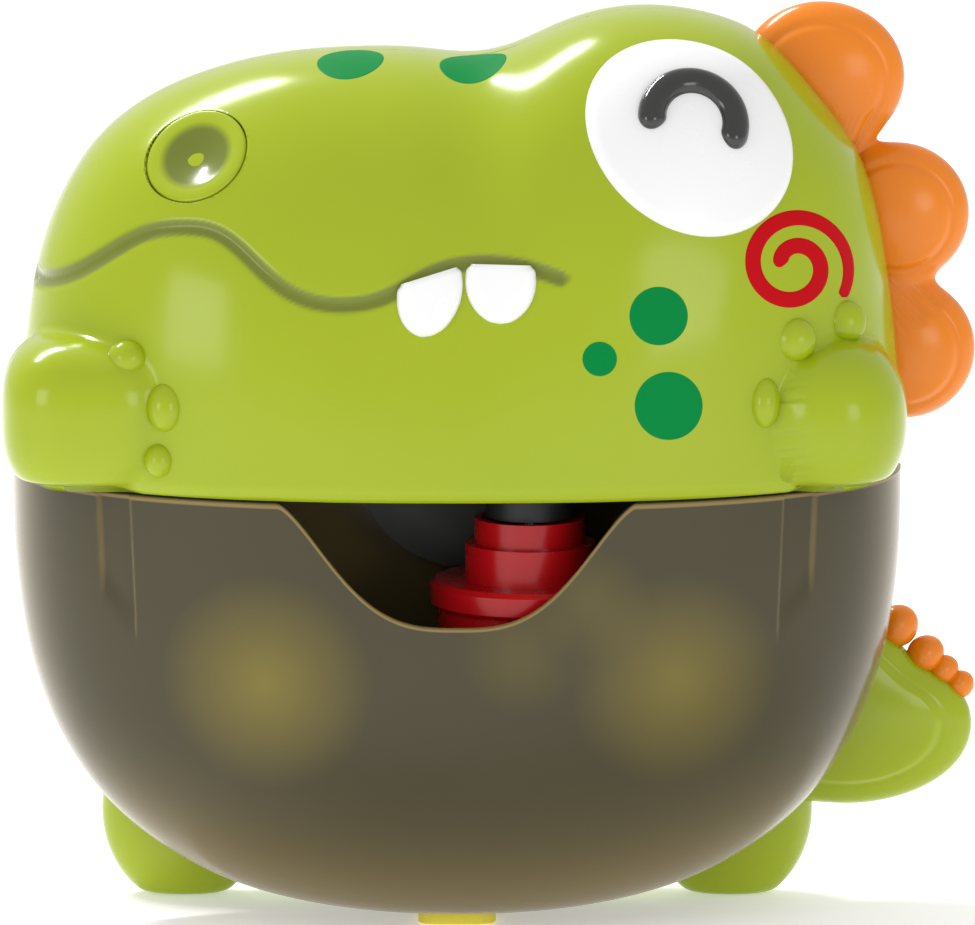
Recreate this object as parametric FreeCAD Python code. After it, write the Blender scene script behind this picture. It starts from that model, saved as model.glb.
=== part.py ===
"""Bath bubble machine shaped like a dinosaur: a FreeCAD model of every piece, in millimetres.

The toy is a clear smoke tank with a two-shell head lifted onto it. The origin is the middle of the front
foot's sole, on the surface that the toy stands on. +X is the toy's left side as seen from the front
(the eye's side), +Y is towards the wall that it can hang on, and +Z is up.
"""
import FreeCAD, Part
import math
import os
from FreeCAD import Placement, Rotation
from FreeCAD import Vector as V

# ---- driving dimensions -------------------------------------------------------------------------
SEAM_Z = 96.0          # height of the joint between the head and the tank
SPLIT_Y = 12.0         # plane where the front and rear head shells meet, at the head's widest section
FRONT_DEPTH = 53.0     # head and tank bulge in front of the split plane
REAR_DEPTH = 28.0      # rear shell behind the split plane
BACK_Y = SPLIT_Y + REAR_DEPTH
REAR_TAPER = 0.13      # how much smaller the flat back is than the widest section
HEAD_POWER = 2.35      # superellipse power of the head's bulge
WALL = 2.0             # moulded wall of every shell
FIT = 0.3              # gap between pieces that move apart
TANK_HALF_W = 93.2
TANK_FLOOR_Z = 3.2     # lowest point of the tank's outside
TANK_BACK_Y = 20.0
TANK_LOW_Y = -6.0      # where the tank's lowest point lies
COVER_Y = 21.0         # front face of the lower housing, behind the tank
HOUSING_SPLIT_Y = 30.0
MOUTH_HALF_W = 39.5
CHANNEL_X = (68.6, 75.2)   # sides of the guide channel pressed into the tank beside the mouth
CHANNEL_Y = -24.4          # its flat floor
MOUTH_DEPTH = 26.0
DRUM_X, DRUM_Y = 15.3, -14.0
BLOWER_X, BLOWER_Z, BLOWER_R = 2.0, 97.0, 23.0
BLOWER_Y0, BLOWER_Y1 = 7.6, 16.5
MOTOR_R = 7.8          # both motors' cans
MOTOR_ROOM_R = 9.0     # notch in the tank and hole in the cover round the fan's motor
FLOOR_T = 2.2          # chassis floor plate
RIM_DROP = 5.5         # skirt of the chassis floor inside the tank's rim
PILOT_R = 1.33         # screw holes, clear of a 2.6 mm screw
CLEAR_R = 1.6          # screw clearance through the rear shell
HEAD_WELL_R = 3.3      # counterbore for the screw's head
BOSS_R, WELL_R = 3.6, 4.6
SCREW_SEAT = 4.05      # the screw's head sits this far behind the plane where the shells meet
MODULE = 0.6           # gear module
BIG_TEETH, SMALL_TEETH = 40, 12
GEAR_DISTANCE = MODULE * (BIG_TEETH + SMALL_TEETH) / 2.0
CUP_PLACES = ((-57.0, 130.0), (57.0, 130.0), (-38.0, 44.0), (38.0, 44.0))
CUP_HOLE_R = 4.2
SPEAKER_Z = 70.0
SPEAKER_HOLES = ((0, 1), (4.2, 6), (8.4, 12))     # rings of sound holes: (ring radius, how many)
SPEAKER_HOLE_R = 1.1
SHELL_SCREWS = ((-70.0, 106.0), (70.0, 106.0), (-22.0, 170.5), (50.0, 178.0))
HOUSING_SCREWS = ((-50.0, 88.0), (50.0, 88.0), (0.0, 20.0))
LAMP_X, LAMP_Z = 43.5, 47.0
LENS_R = 9.0
FOOT_Y = 31.6          # middle of both feet, clear of the tank as the head lifts
DOOR_HALF_W = 30.0
DOOR_Z0, DOOR_Z1 = 113.6, 169.4
DOOR_SCREW_Z = 166.2
CELL_Z0, CELL_PITCH, CELL_Y = 124.1, 15.5, 29.0
CELL_R = 7.1
BOARD_Y = 14.4         # front face of the main board
BUTTON_AT = V(-54.8, -16.4, 166.1)
BUTTON_AXIS = V(-0.444, -0.69, 0.572)
BUTTON_R = 11.2
EYE_AT = V(49.0, -23.4, 170.2)
EYE_AXIS = V(0.292, -0.846, 0.446)
EYE_R = 22.7

# Outline of the head's widest section, from the right of the seam over the top to the left: (x, z).
HEAD_OUTLINE = (
    (93.2, 90), (93.0, 96), (92.3, 118), (90.5, 135), (87.2, 153), (83.6, 162.5), (77.6, 171.5), (70, 180.5),
    (61, 187.7), (51, 191.1), (40.5, 192.3), (30, 191.2), (20, 187.8), (12, 184.2), (4, 182.4), (-8, 183.2),
    (-22, 183.4), (-36, 182.3), (-50, 179.2), (-64, 173.4), (-75, 164.8), (-83.2, 152.2), (-87.6, 140),
    (-90.6, 122), (-93, 96), (-93.2, 90),
)
# Centreline of the smiling mouth, from the head's right edge to its end under the eye: (x, z).
GROOVE = (
    (-96, 134.6), (-84, 138.8), (-76, 143.5), (-68.5, 148.8), (-62.4, 151.7), (-56, 152.7), (-50.6, 152.2),
    (-45.4, 149.3), (-39.3, 143.9), (-33, 139.9), (-26.7, 138.3), (-20.4, 138.4), (-13.5, 140.3),
    (-5.7, 144.3), (2.7, 146.6), (13.2, 146.3), (22, 143.8),
)
GROOVE_HALF_W = 1.6
GROOVE_DEPTH = 1.1
# Both teeth: (node, x of the middle, z of the top edge, half width, height).
TEETH = (("left_tooth", -5.8, 144.2, 6.7, 13.1), ("right_tooth", 9.4, 146.3, 7.2, 12.6))
TAIL_OUTLINE = (
    (62, 62), (76, 62), (89, 59), (97, 51), (104, 44), (107.6, 37.5), (106.4, 31.5), (102, 26), (95, 22.4),
    (86, 20.8), (76, 20.8), (62, 23),
)
CREST_LOBES = (((78.3, 176.6), 15.6, 15.4), ((92.3, 148.2), 15.2, 14.7), ((93.6, 119.4), 14.8, 14.7))
CREST_WEBS = ((82.8, 162.0), (92.0, 133.8))    # where each pair of lobes grows together
CREST_Y = 21.0
CREST_R_Y = 8.2        # half thickness of the lobes, and below of the webs between them
CREST_WEB_R, CREST_WEB_R_Y = 7.4, 5.4
# Three fingers on each hand: (x, y, z, half width, half height).
FINGERS = (
    (-68.5, -29, 122.5, 3.4, 3.4), (-61, -31.5, 113.5, 3.4, 4.8), (-62.3, -31, 102.5, 3.0, 3.0),
    (65, -29.5, 114.5, 3.2, 5.2), (70.6, -26, 127.6, 4.2, 4.2), (81, -18.5, 130.5, 4.4, 3.8),
)
FINGER_R_Y = 4.1
TAIL_LOBES = (((92.6, 58.6), 3.9), ((99.0, 52.2), 4.0), ((104.8, 46.2), 3.3))

nodes = {}


# ---- shape helpers ------------------------------------------------------------------------------
def box(x0, x1, y0, y1, z0, z1):
    return Part.makeBox(x1 - x0, y1 - y0, z1 - z0, V(x0, y0, z0))


def ycyl(x, z, r, y0, y1):
    return Part.makeCylinder(r, y1 - y0, V(x, y0, z), V(0, 1, 0))


def zcyl(x, y, r, z0, z1):
    return Part.makeCylinder(r, z1 - z0, V(x, y, z0), V(0, 0, 1))


def ellipsoid(centre, radii):
    matrix = FreeCAD.Matrix()
    matrix.scale(*radii)
    ball = Part.makeSphere(1.0).transformGeometry(matrix)
    ball.translate(centre)
    return ball


def revolved(points, axis=V(0, 0, 1), at=V(0, 0, 0)):
    """Turns an outline of (radius, height) points about local Z, then stands it along axis at a point."""
    wire = Part.makePolygon([V(r, 0, h) for r, h in points] + [V(points[0][0], 0, points[0][1])])
    solid = Part.Face(wire).revolve(V(0, 0, 0), V(0, 0, 1), 360)
    solid.Placement = Placement(at, Rotation(V(0, 0, 1), axis))
    return solid


def along(solid, at, axis):
    """Places a solid built about local Z so that its Z lies on axis at a point."""
    placed = solid.copy()
    placed.Placement = Placement(at, Rotation(V(0, 0, 1), axis))
    return placed


def tidy(shape):
    """Joins faces that lie on one surface, or leaves the shape as it is where that fails."""
    try:
        cleaned = shape.removeSplitter()
        return cleaned if cleaned.isValid() else shape
    except Part.OCCError:
        return shape


def fused(shapes):
    return tidy(shapes[0].multiFuse(shapes[1:]) if len(shapes) > 1 else shapes[0])


def cut_all(shape, tools):
    for tool in tools:
        shape = shape.cut(tool)
    return shape


def add(name, shape):
    nodes[name] = shape


# ---- head surfaces ------------------------------------------------------------------------------
def head_section(y, scale, inset):
    """Closed wire at depth y: the outline scaled about the seam's middle, moved inwards by inset."""
    points = []
    for x, z in HEAD_OUTLINE:
        dx, dz = x * scale, (z - SEAM_Z) * scale
        reach = math.hypot(dx, dz)
        pull = max(0.05, (reach - inset) / reach)
        points.append(V(dx * pull, y, SEAM_Z + dz * pull))
    spline = Part.BSplineCurve()
    spline.interpolate(points)
    return Part.Wire([spline.toShape(), Part.makeLine(points[-1], points[0])])


def head_front(inset):
    """The bulge in front of the split plane: sections shrink as a superellipse."""
    depth = FRONT_DEPTH - inset
    sections = []
    for angle in (0, 9, 18, 28, 38, 48, 58, 67, 75, 81):
        t = math.radians(angle)
        scale = math.cos(t) ** (2 / HEAD_POWER)
        sections.append(head_section(SPLIT_Y - depth * math.sin(t) ** (2 / HEAD_POWER), scale, inset * scale))
    return Part.makeLoft(sections, True, False)


def head_rear(inset):
    """The shallower rear half, rounded towards a flat back."""
    depth = REAR_DEPTH - inset
    sections = []
    for angle in (0, 18, 36, 54, 72, 90):
        t = math.radians(angle)
        scale = 1 - REAR_TAPER * (1 - math.cos(t))
        sections.append(head_section(SPLIT_Y + depth * math.sin(t), scale, inset))
    return Part.makeLoft(sections, True, False)


def above_seam(shape, z=SEAM_Z):
    return shape.common(box(-150, 150, -100, 100, z, 260))


def mouth_groove(deep):
    """The smile: a band along the centreline, as deep into the front shell as asked."""
    spline = Part.BSplineCurve()
    spline.interpolate([V(x, 0, z) for x, z in GROOVE])
    first, last = spline.FirstParameter, spline.LastParameter
    edges = [[], []]
    for k in range(41):
        at = first + (last - first) * k / 40.0
        point, run = spline.value(at), spline.tangent(at)[0]
        side = V(-run.z, 0, run.x) * GROOVE_HALF_W
        edges[0].append(point + side)
        edges[1].append(point - side)
    bands = []
    for side in edges:
        edge = Part.BSplineCurve()
        edge.interpolate(side)
        bands.append(edge.toShape())
    ends = [Part.makeLine(edges[0][-1], edges[1][-1]), Part.makeLine(edges[1][0], edges[0][0])]
    face = Part.Face(Part.Wire(Part.__sortEdges__(bands + ends)))
    band = face.extrude(V(0, -70, 0))
    band.translate(V(0, SPLIT_Y + 1, 0))
    return band.cut(head_front(deep))


def arms():
    """The two stubby arms with three fingers each, moulded onto the front shell."""
    palms = [ellipsoid(V(-77, -13, 110), (18.5, 19, 16.5)), ellipsoid(V(79.5, -12, 110), (15.5, 18, 16.5))]
    fingers = [ellipsoid(V(x, y, z), (wide, FINGER_R_Y, tall)) for x, y, z, wide, tall in FINGERS]
    return palms + fingers


def gear(teeth, z0, z1, x, y, phase=0.0):
    """Spur gear with stub teeth: involute flanks, thinned for backlash."""
    pitch = MODULE * teeth / 2.0
    base = pitch * math.cos(math.radians(20))
    tip, root = pitch + 0.8 * MODULE, pitch - 1.15 * MODULE
    half_at_pitch = math.pi / (2 * teeth) - 0.06 / pitch
    lean_at_pitch = math.tan(math.radians(20)) - math.radians(20)
    points = []
    for k in range(teeth):
        middle = phase + 2 * math.pi * k / teeth
        flank = []
        for step in range(5):
            r = max(root, base) + (tip - max(root, base)) * step / 4.0
            roll = math.sqrt(max(0.0, (r / base) ** 2 - 1))
            flank.append((r, half_at_pitch + lean_at_pitch - (roll - math.atan(roll))))
        if base > root:
            flank.insert(0, (root, flank[0][1]))
        for r, half in flank:
            points.append(V(r * math.cos(middle - half), r * math.sin(middle - half), 0))
        for r, half in reversed(flank):
            points.append(V(r * math.cos(middle + half), r * math.sin(middle + half), 0))
    solid = Part.Face(Part.makePolygon(points + [points[0]])).extrude(V(0, 0, z1 - z0))
    solid.translate(V(x, y, z0))
    return solid


# ---- housing ------------------------------------------------------------------------------------
def mouth_cut(y0, y1):
    """The bell-shaped opening: its depth is the full depth times (1 - |x / half width| cubed) squared."""
    points = []
    for k in range(-12, 13):
        x = MOUTH_HALF_W * k / 12.0
        points.append(V(x, y0, SEAM_Z - MOUTH_DEPTH * (1 - abs(x / MOUTH_HALF_W) ** 3) ** 2))
    spline = Part.BSplineCurve()
    spline.interpolate(points)
    top = [V(MOUTH_HALF_W, y0, SEAM_Z + 4), V(-MOUTH_HALF_W, y0, SEAM_Z + 4)]
    rest = Part.makePolygon([points[-1], top[0], top[1], points[0]])
    wire = Part.Wire([spline.toShape()] + rest.Edges)
    return Part.Face(wire).extrude(V(0, y1 - y0, 0))


def tank_section(drop, inset):
    """Closed wire of the tank at a share of its depth, from 0 at the seam to 1 at its lowest point."""
    height = SEAM_Z - TANK_FLOOR_Z - inset
    share = max(0.0, drop)
    width = (TANK_HALF_W - inset) * (1 - share ** 2.65) ** (1 / 2.85)
    front = TANK_LOW_Y - (TANK_LOW_Y - (SPLIT_Y - FRONT_DEPTH) - inset) * (1 - share ** 2.6) ** (1 / 2.6)
    back = TANK_LOW_Y + (TANK_BACK_Y - TANK_LOW_Y - inset) * (1 - share ** 5) ** 0.2
    middle = TANK_LOW_Y + (SPLIT_Y - TANK_LOW_Y - inset / 2) * (1 - share ** 4) ** 0.25
    points = []
    for k in range(36):
        t = 2 * math.pi * k / 36
        c, s = math.cos(t), math.sin(t)
        power = 2.2 if s < 0 else 3.0
        x = width * math.copysign(abs(c) ** (2 / power), c)
        reach = middle - front if s < 0 else back - middle
        points.append(V(x, middle + reach * math.copysign(abs(s) ** (2 / power), s), SEAM_Z - drop * height))
    spline = Part.BSplineCurve()
    spline.interpolate(Points=points, PeriodicFlag=True)
    return Part.Wire([spline.toShape()])


def tank_bowl(inset):
    drops = (-0.05, 0.12, 0.27, 0.42, 0.56, 0.68, 0.78, 0.86, 0.92, 0.96, 0.985, 0.996)
    return Part.makeLoft([tank_section(d, inset) for d in drops], True, False)


def housing_block(y0, y1, inset):
    """The lower housing behind the tank: a tapered plate with rounded lower corners."""
    top, low, foot, corner = 68.0 - inset, 61.0 - inset, 8.0 + inset, 16.0
    side = [V(top, y0, SEAM_Z + 4), V(low, y0, foot + corner)]
    arc = Part.Arc(V(low, y0, foot + corner), V(low - 0.293 * corner, y0, foot + 0.293 * corner),
                   V(low - corner, y0, foot))
    mirrored = Part.Arc(V(corner - low, y0, foot), V(0.293 * corner - low, y0, foot + 0.293 * corner),
                        V(-low, y0, foot + corner))
    wire = Part.Wire([Part.makeLine(*side), arc.toShape(), Part.makeLine(V(low - corner, y0, foot),
                      V(corner - low, y0, foot)), mirrored.toShape(),
                      Part.makeLine(V(-low, y0, foot + corner), V(-top, y0, SEAM_Z + 4)),
                      Part.makeLine(V(-top, y0, SEAM_Z + 4), V(top, y0, SEAM_Z + 4))])
    return Part.Face(wire).extrude(V(0, y1 - y0, 0))


def foot_shape(side, grow=0.0):
    ball = ellipsoid(V(side * 57.5, FOOT_Y, 18.5), (17.4 + grow, 10.2 + grow, 21 + grow))
    return ball.common(box(-200, 200, 0, 60, -grow, 60))


def tail_half(direction, grow):
    """One half of the tail: its outline shrinks about its middle as it bulges from the split plane."""
    sections = []
    for angle in (0, 20, 40, 58, 74):
        t = math.radians(angle)
        scale = math.cos(t) ** 0.8
        points = []
        for x, z in TAIL_OUTLINE:
            dx, dz = (x - 82.0) * scale, (z - 40.0) * scale
            reach = math.hypot(dx, dz)
            points.append(V(82.0 + dx * (reach + grow) / reach,
                            HOUSING_SPLIT_Y + direction * (8.6 + grow) * math.sin(t) ** 0.8,
                            40.0 + dz * (reach + grow) / reach))
        spline = Part.BSplineCurve()
        spline.interpolate(Points=points, PeriodicFlag=True)
        sections.append(Part.Wire([spline.toShape()]))
    return Part.makeLoft(sections, True, False)


def tail_shape(grow=0.0):
    return fused([tail_half(-1, grow), tail_half(1, grow)])


def crest_shape(grow=0.0):
    lobes = [ellipsoid(V(x, CREST_Y, z), (rx + grow, CREST_R_Y + grow, rz + grow))
             for (x, z), rx, rz in CREST_LOBES]
    web = V(CREST_WEB_R + grow, CREST_WEB_R_Y + grow, CREST_WEB_R + grow)
    webs = [ellipsoid(V(x, CREST_Y, z), tuple(web)) for x, z in CREST_WEBS]
    crest = lobes[0]
    for piece in (webs[0], lobes[1], webs[1], lobes[2]):
        crest = crest.fuse(piece)
    return crest


def screw(x, z, head_y, length, head_r=3.0):
    """Pan-head self-tapping screw pointing towards the front, with a cross recess."""
    body = revolved([(0, 0), (head_r, 0), (head_r, 1.2), (head_r * 0.7, 2.0), (0, 2.0)])
    body = body.fuse(revolved([(0, -length), (0.5, -length), (1.3, -length + 2.0), (1.3, 0.2), (0, 0.2)]))
    for turn in (0, 90):
        slot = Part.makeBox(head_r * 1.1, 0.7, 1.0, V(-head_r * 0.55, -0.35, 1.2))
        slot.rotate(V(0, 0, 0), V(0, 0, 1), turn)
        body = body.cut(slot)
    return along(body, V(x, head_y, z), V(0, 1, 0))


def build_head():
    outer, inner = above_seam(head_front(0)), head_front(WALL)
    shell = outer.cut(inner)
    posts = []
    for x, z in SHELL_SCREWS:
        post = ycyl(x, z, BOSS_R, -60, SPLIT_Y - 0.1).common(outer)
        posts.append(post.cut(ycyl(x, z, PILOT_R, SPLIT_Y - 14, SPLIT_Y)))
    arm_lumps = [above_seam(lump).cut(inner) for lump in arms()]
    shell = fused([shell.cut(mouth_groove(GROOVE_DEPTH))] + arm_lumps + posts)
    shell = shell.cut(along(Part.makeCylinder(BUTTON_R + FIT, 60, V(0, 0, -20)), BUTTON_AT, BUTTON_AXIS))
    eye_hole = along(Part.makeCylinder(7.0, 30, V(0, 0, -15)), EYE_AT, EYE_AXIS)
    shell = shell.cut(eye_hole)
    add("front_shell", shell)

    grown = above_seam(head_front(-1.3))
    eye_disc = along(Part.makeCylinder(EYE_R, 44, V(0, 0, -22)), EYE_AT, EYE_AXIS)
    eye = grown.cut(outer).common(eye_disc)
    eye = eye.fuse(along(Part.makeCylinder(6.8, 26, V(0, 0, -13)), EYE_AT, EYE_AXIS).common(grown).cut(inner))
    add("eye_white", tidy(eye))
    lid_ring = Part.makeTorus(8.6, 3.0, V(0, 0, 0), V(0, 0, 1), -180, 180, 205)
    lid_ring.rotate(V(0, 0, 0), V(0, 0, 1), -30)
    lid = along(lid_ring, EYE_AT, EYE_AXIS)
    shift = V(EYE_AXIS)
    shift.normalize()
    lid.translate(shift * 2.4 + V(0.6, 0, 3.0))
    add("closed_eyelid", lid.cut(grown))

    tooth_grown = above_seam(head_front(-2.2))
    for name, x, z, half, tall in TEETH:
        prong = Part.makeCylinder(1.0, 60, V(0, -60, 0), V(0, 1, 0))
        matrix = FreeCAD.Matrix()
        matrix.scale(half, 1.0, tall)
        prong = prong.transformGeometry(matrix)
        prong.translate(V(x, 0, z))
        prong = prong.common(box(-60, 60, -80, 0, z - 40, z))
        add(name, tooth_grown.cut(outer).common(prong))

    rear = above_seam(head_rear(0))
    lower = housing_block(HOUSING_SPLIT_Y, BACK_Y, 0)
    lower = lower.makeFillet(4.0, [e for e in lower.Edges if min(v.Y for v in e.Vertexes) > BACK_Y - 0.1
                                   and max(v.Z for v in e.Vertexes) < SEAM_Z + 3.9])
    whole = rear.fuse(lower)
    hollow = above_seam(head_rear(WALL))
    whole = whole.cut(hollow)
    whole = whole.cut(housing_block(HOUSING_SPLIT_Y - 1, BACK_Y - WALL, WALL))
    wells = []
    holes = []
    for places, seam_y in ((SHELL_SCREWS, SPLIT_Y), (HOUSING_SCREWS, HOUSING_SPLIT_Y)):
        for x, z in places:
            wells.append(ycyl(x, z, WELL_R, seam_y + 0.1, BACK_Y - 0.5))
            holes.append(ycyl(x, z, HEAD_WELL_R, seam_y + SCREW_SEAT - 0.05, BACK_Y + 5))
            holes.append(ycyl(x, z, CLEAR_R, seam_y - 1, BACK_Y))
    whole = fused([whole] + [well.common(rear.fuse(lower)) for well in wells])
    holes += [ycyl(x, z, CUP_HOLE_R, BACK_Y - 4, BACK_Y + 1) for x, z in CUP_PLACES]
    half = DOOR_HALF_W + FIT
    holes.append(box(-half, half, BACK_Y - 4, BACK_Y + 2, DOOR_Z0 - 0.8, DOOR_Z1 + FIT))
    for ring, count in SPEAKER_HOLES:
        for k in range(count):
            a = 2 * math.pi * k / count
            hole_x, hole_z = ring * math.cos(a), SPEAKER_Z + ring * math.sin(a)
            holes.append(ycyl(hole_x, hole_z, SPEAKER_HOLE_R, BACK_Y - 4, BACK_Y + 1))
    whole = whole.cut(Part.makeCompound(holes))
    whole = cut_all(whole, [crest_shape(), foot_shape(-1, 0.2), foot_shape(1, 0.2), tail_shape(0.15)])
    add("rear_shell", whole)

    in_front = box(-150, 150, -100, SPLIT_Y + 0.1, 0, 260)
    add("crest", crest_shape().cut(above_seam(head_rear(WALL + 3.0))).cut(in_front))

    cover = housing_block(COVER_Y, HOUSING_SPLIT_Y - 0.1, 0)
    cover = cover.cut(housing_block(COVER_Y + WALL, HOUSING_SPLIT_Y, WALL))
    cover = cover.common(box(-150, 150, 0, 60, 0, SEAM_Z - 0.1))
    for x, z in HOUSING_SCREWS:
        cover = cover.fuse(ycyl(x, z, BOSS_R, COVER_Y + 0.5, HOUSING_SPLIT_Y - 0.1))
        cover = cover.cut(ycyl(x, z, PILOT_R, COVER_Y + 2, HOUSING_SPLIT_Y))
    for side in (-1, 1):
        cover = cover.cut(ycyl(side * LAMP_X, LAMP_Z, LENS_R + 0.1, COVER_Y - 1, COVER_Y + 3))
    cover = cover.cut(ycyl(BLOWER_X, BLOWER_Z, MOTOR_ROOM_R, COVER_Y - 1, HOUSING_SPLIT_Y))
    cover = cut_all(cover, [foot_shape(-1, 0.2), foot_shape(1, 0.2), tail_shape(0.15)])
    add("lower_housing_cover", cover)

    inside = fused([housing_block(COVER_Y + WALL + 0.2, BACK_Y - WALL - 0.2, WALL + 0.2)])
    for side, name in ((-1, "left_foot"), (1, "right_foot")):
        add(name, foot_shape(side).cut(inside))
    add("tail", tail_shape().cut(box(-50, 63.5, 0, 60, 0, 90)).cut(foot_shape(1, 0.1)))
    spikes = [ellipsoid(V(x, HOUSING_SPLIT_Y, z), (r, r * 0.95, r)) for (x, z), r in TAIL_LOBES]
    add("tail_spikes", spikes[0].multiFuse(spikes[1:]).cut(tail_shape(0.0)))


def build_tank():
    bowl = tank_bowl(0).common(box(-150, 150, -100, 100, -1, SEAM_Z - FIT))
    bowl = bowl.cut(tank_bowl(WALL))
    bowl = bowl.cut(mouth_cut(-70, -18))
    for side in (-1, 1):
        x0, x1 = sorted((side * CHANNEL_X[0], side * CHANNEL_X[1]))
        bowl = bowl.cut(box(x0, x1, -60, CHANNEL_Y, 50, 110))
    notch = box(BLOWER_X - MOTOR_ROOM_R, BLOWER_X + MOTOR_ROOM_R, 10, 25, BLOWER_Z, 110)
    notch = notch.fuse(ycyl(BLOWER_X, BLOWER_Z, MOTOR_ROOM_R, 10, 25))
    bowl = bowl.cut(notch)
    socket = box(-9.2, 9.2, -6.2, 6.2, TANK_FLOOR_Z - 1, TANK_FLOOR_Z + 4.5).common(tank_bowl(0.0))
    bowl = bowl.fuse(socket).cut(box(-7.0, 7.0, -4.0, 4.0, -1, TANK_FLOOR_Z + 2.5))
    add("tank", tidy(bowl))
    pad = box(-8.2, 8.2, -6.0, 6.0, 0, TANK_FLOOR_Z - 0.2)
    pad = pad.makeFillet(1.2, [e for e in pad.Edges if abs(e.Vertexes[0].Z - e.Vertexes[-1].Z) > 1])
    foot = pad.fuse(box(-6.95, 6.95, -3.95, 3.95, TANK_FLOOR_Z - 1, TANK_FLOOR_Z + 2.4))
    add("front_foot", foot.cut(tank_bowl(0.0).cut(box(-7.0, 7.0, -4.0, 4.0, -1, 20))))


def build_chassis():
    slab = box(-150, 150, -100, 100, SEAM_Z + 0.02, SEAM_Z + FLOOR_T)
    inset = WALL + 0.8
    floor = above_seam(head_front(inset)).common(slab).fuse(above_seam(head_rear(inset)).common(slab))
    rim = Part.Face(tank_section(0.0, WALL + 0.5)).extrude(V(0, 0, -RIM_DROP))
    rim = rim.cut(Part.Face(tank_section(0.0, WALL + 2.0)).extrude(V(0, 0, -RIM_DROP - 1)))
    rim.translate(V(0, 0, 0.5))
    rim = rim.cut(mouth_cut(-70, -10)).cut(box(BLOWER_X - 26, BLOWER_X + 26, 5, 30, 80, 110))
    floor = floor.fuse(rim)
    floor = floor.cut(ycyl(BLOWER_X, BLOWER_Z, BLOWER_R + 0.2, BLOWER_Y0 - 0.2, BLOWER_Y1 + 0.2))
    floor = floor.cut(ycyl(BLOWER_X, BLOWER_Z, 8.6, BLOWER_Y1, 38.0))
    floor = floor.cut(box(-56, 56, HOUSING_SPLIT_Y - 6, BACK_Y - WALL - 0.4, 90, 110))
    floor = floor.cut(zcyl(DRUM_X, DRUM_Y, 4.0, 90, 110))
    for x, z in SHELL_SCREWS:
        floor = floor.cut(ycyl(x, z, 5.0, -60, 60))
    add("chassis_floor", tidy(floor))


# ---- bubble drive -------------------------------------------------------------------------------
SHAFT_R, PIN_R = 1.5, 1.0      # the drum's shaft, and the motor's and idler's pins
BOX_FLOOR_Z, BOX_LID_Z = 99.6, 108.0
BOX_R, BOX_WALL = 15.0, 1.6    # the gearbox is a slot-shaped box round the gear train
LID_T = 1.6
LUG_R = 3.2
# Half section of the bubble drum, (radius, height): neck, ribbed shoulder, flange and slotted skirt.
DRUM_SECTION = (
    (10.0, 88.7), (11.65, 88.7), (11.65, 83.4), (13.65, 83.4), (13.65, 75.7), (20.0, 75.7), (21.0, 74.7),
    (21.0, 70.9), (20.0, 69.9), (19.3, 69.9), (19.3, 48.0), (17.4, 48.0), (17.4, 71.0), (12.0, 73.4),
    (12.0, 82.0), (10.0, 84.0),
)
DRUM_SLOTS = 20
DUCT_R, DUCT_WALL = 9.4, 1.6
DUCT_Z0, DUCT_ROOF_Z = 89.0, 94.4
# Half section of a gearbox screw about its own axis, from the tip up.
SMALL_SCREW = ((0, -8), (0.5, -8), (1.05, -6.5), (1.05, 0), (2.3, 0), (2.3, 0.9), (1.5, 1.5), (0, 1.5))


def drum_slot(k):
    """One of the slots round the drum's skirt."""
    slot = box(14, 24, -1.0, 1.0, 50.5, 66.5)
    slot.rotate(V(0, 0, 0), V(0, 0, 1), 360 / DRUM_SLOTS * k)
    slot.translate(V(DRUM_X, DRUM_Y, 0))
    return slot


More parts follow.
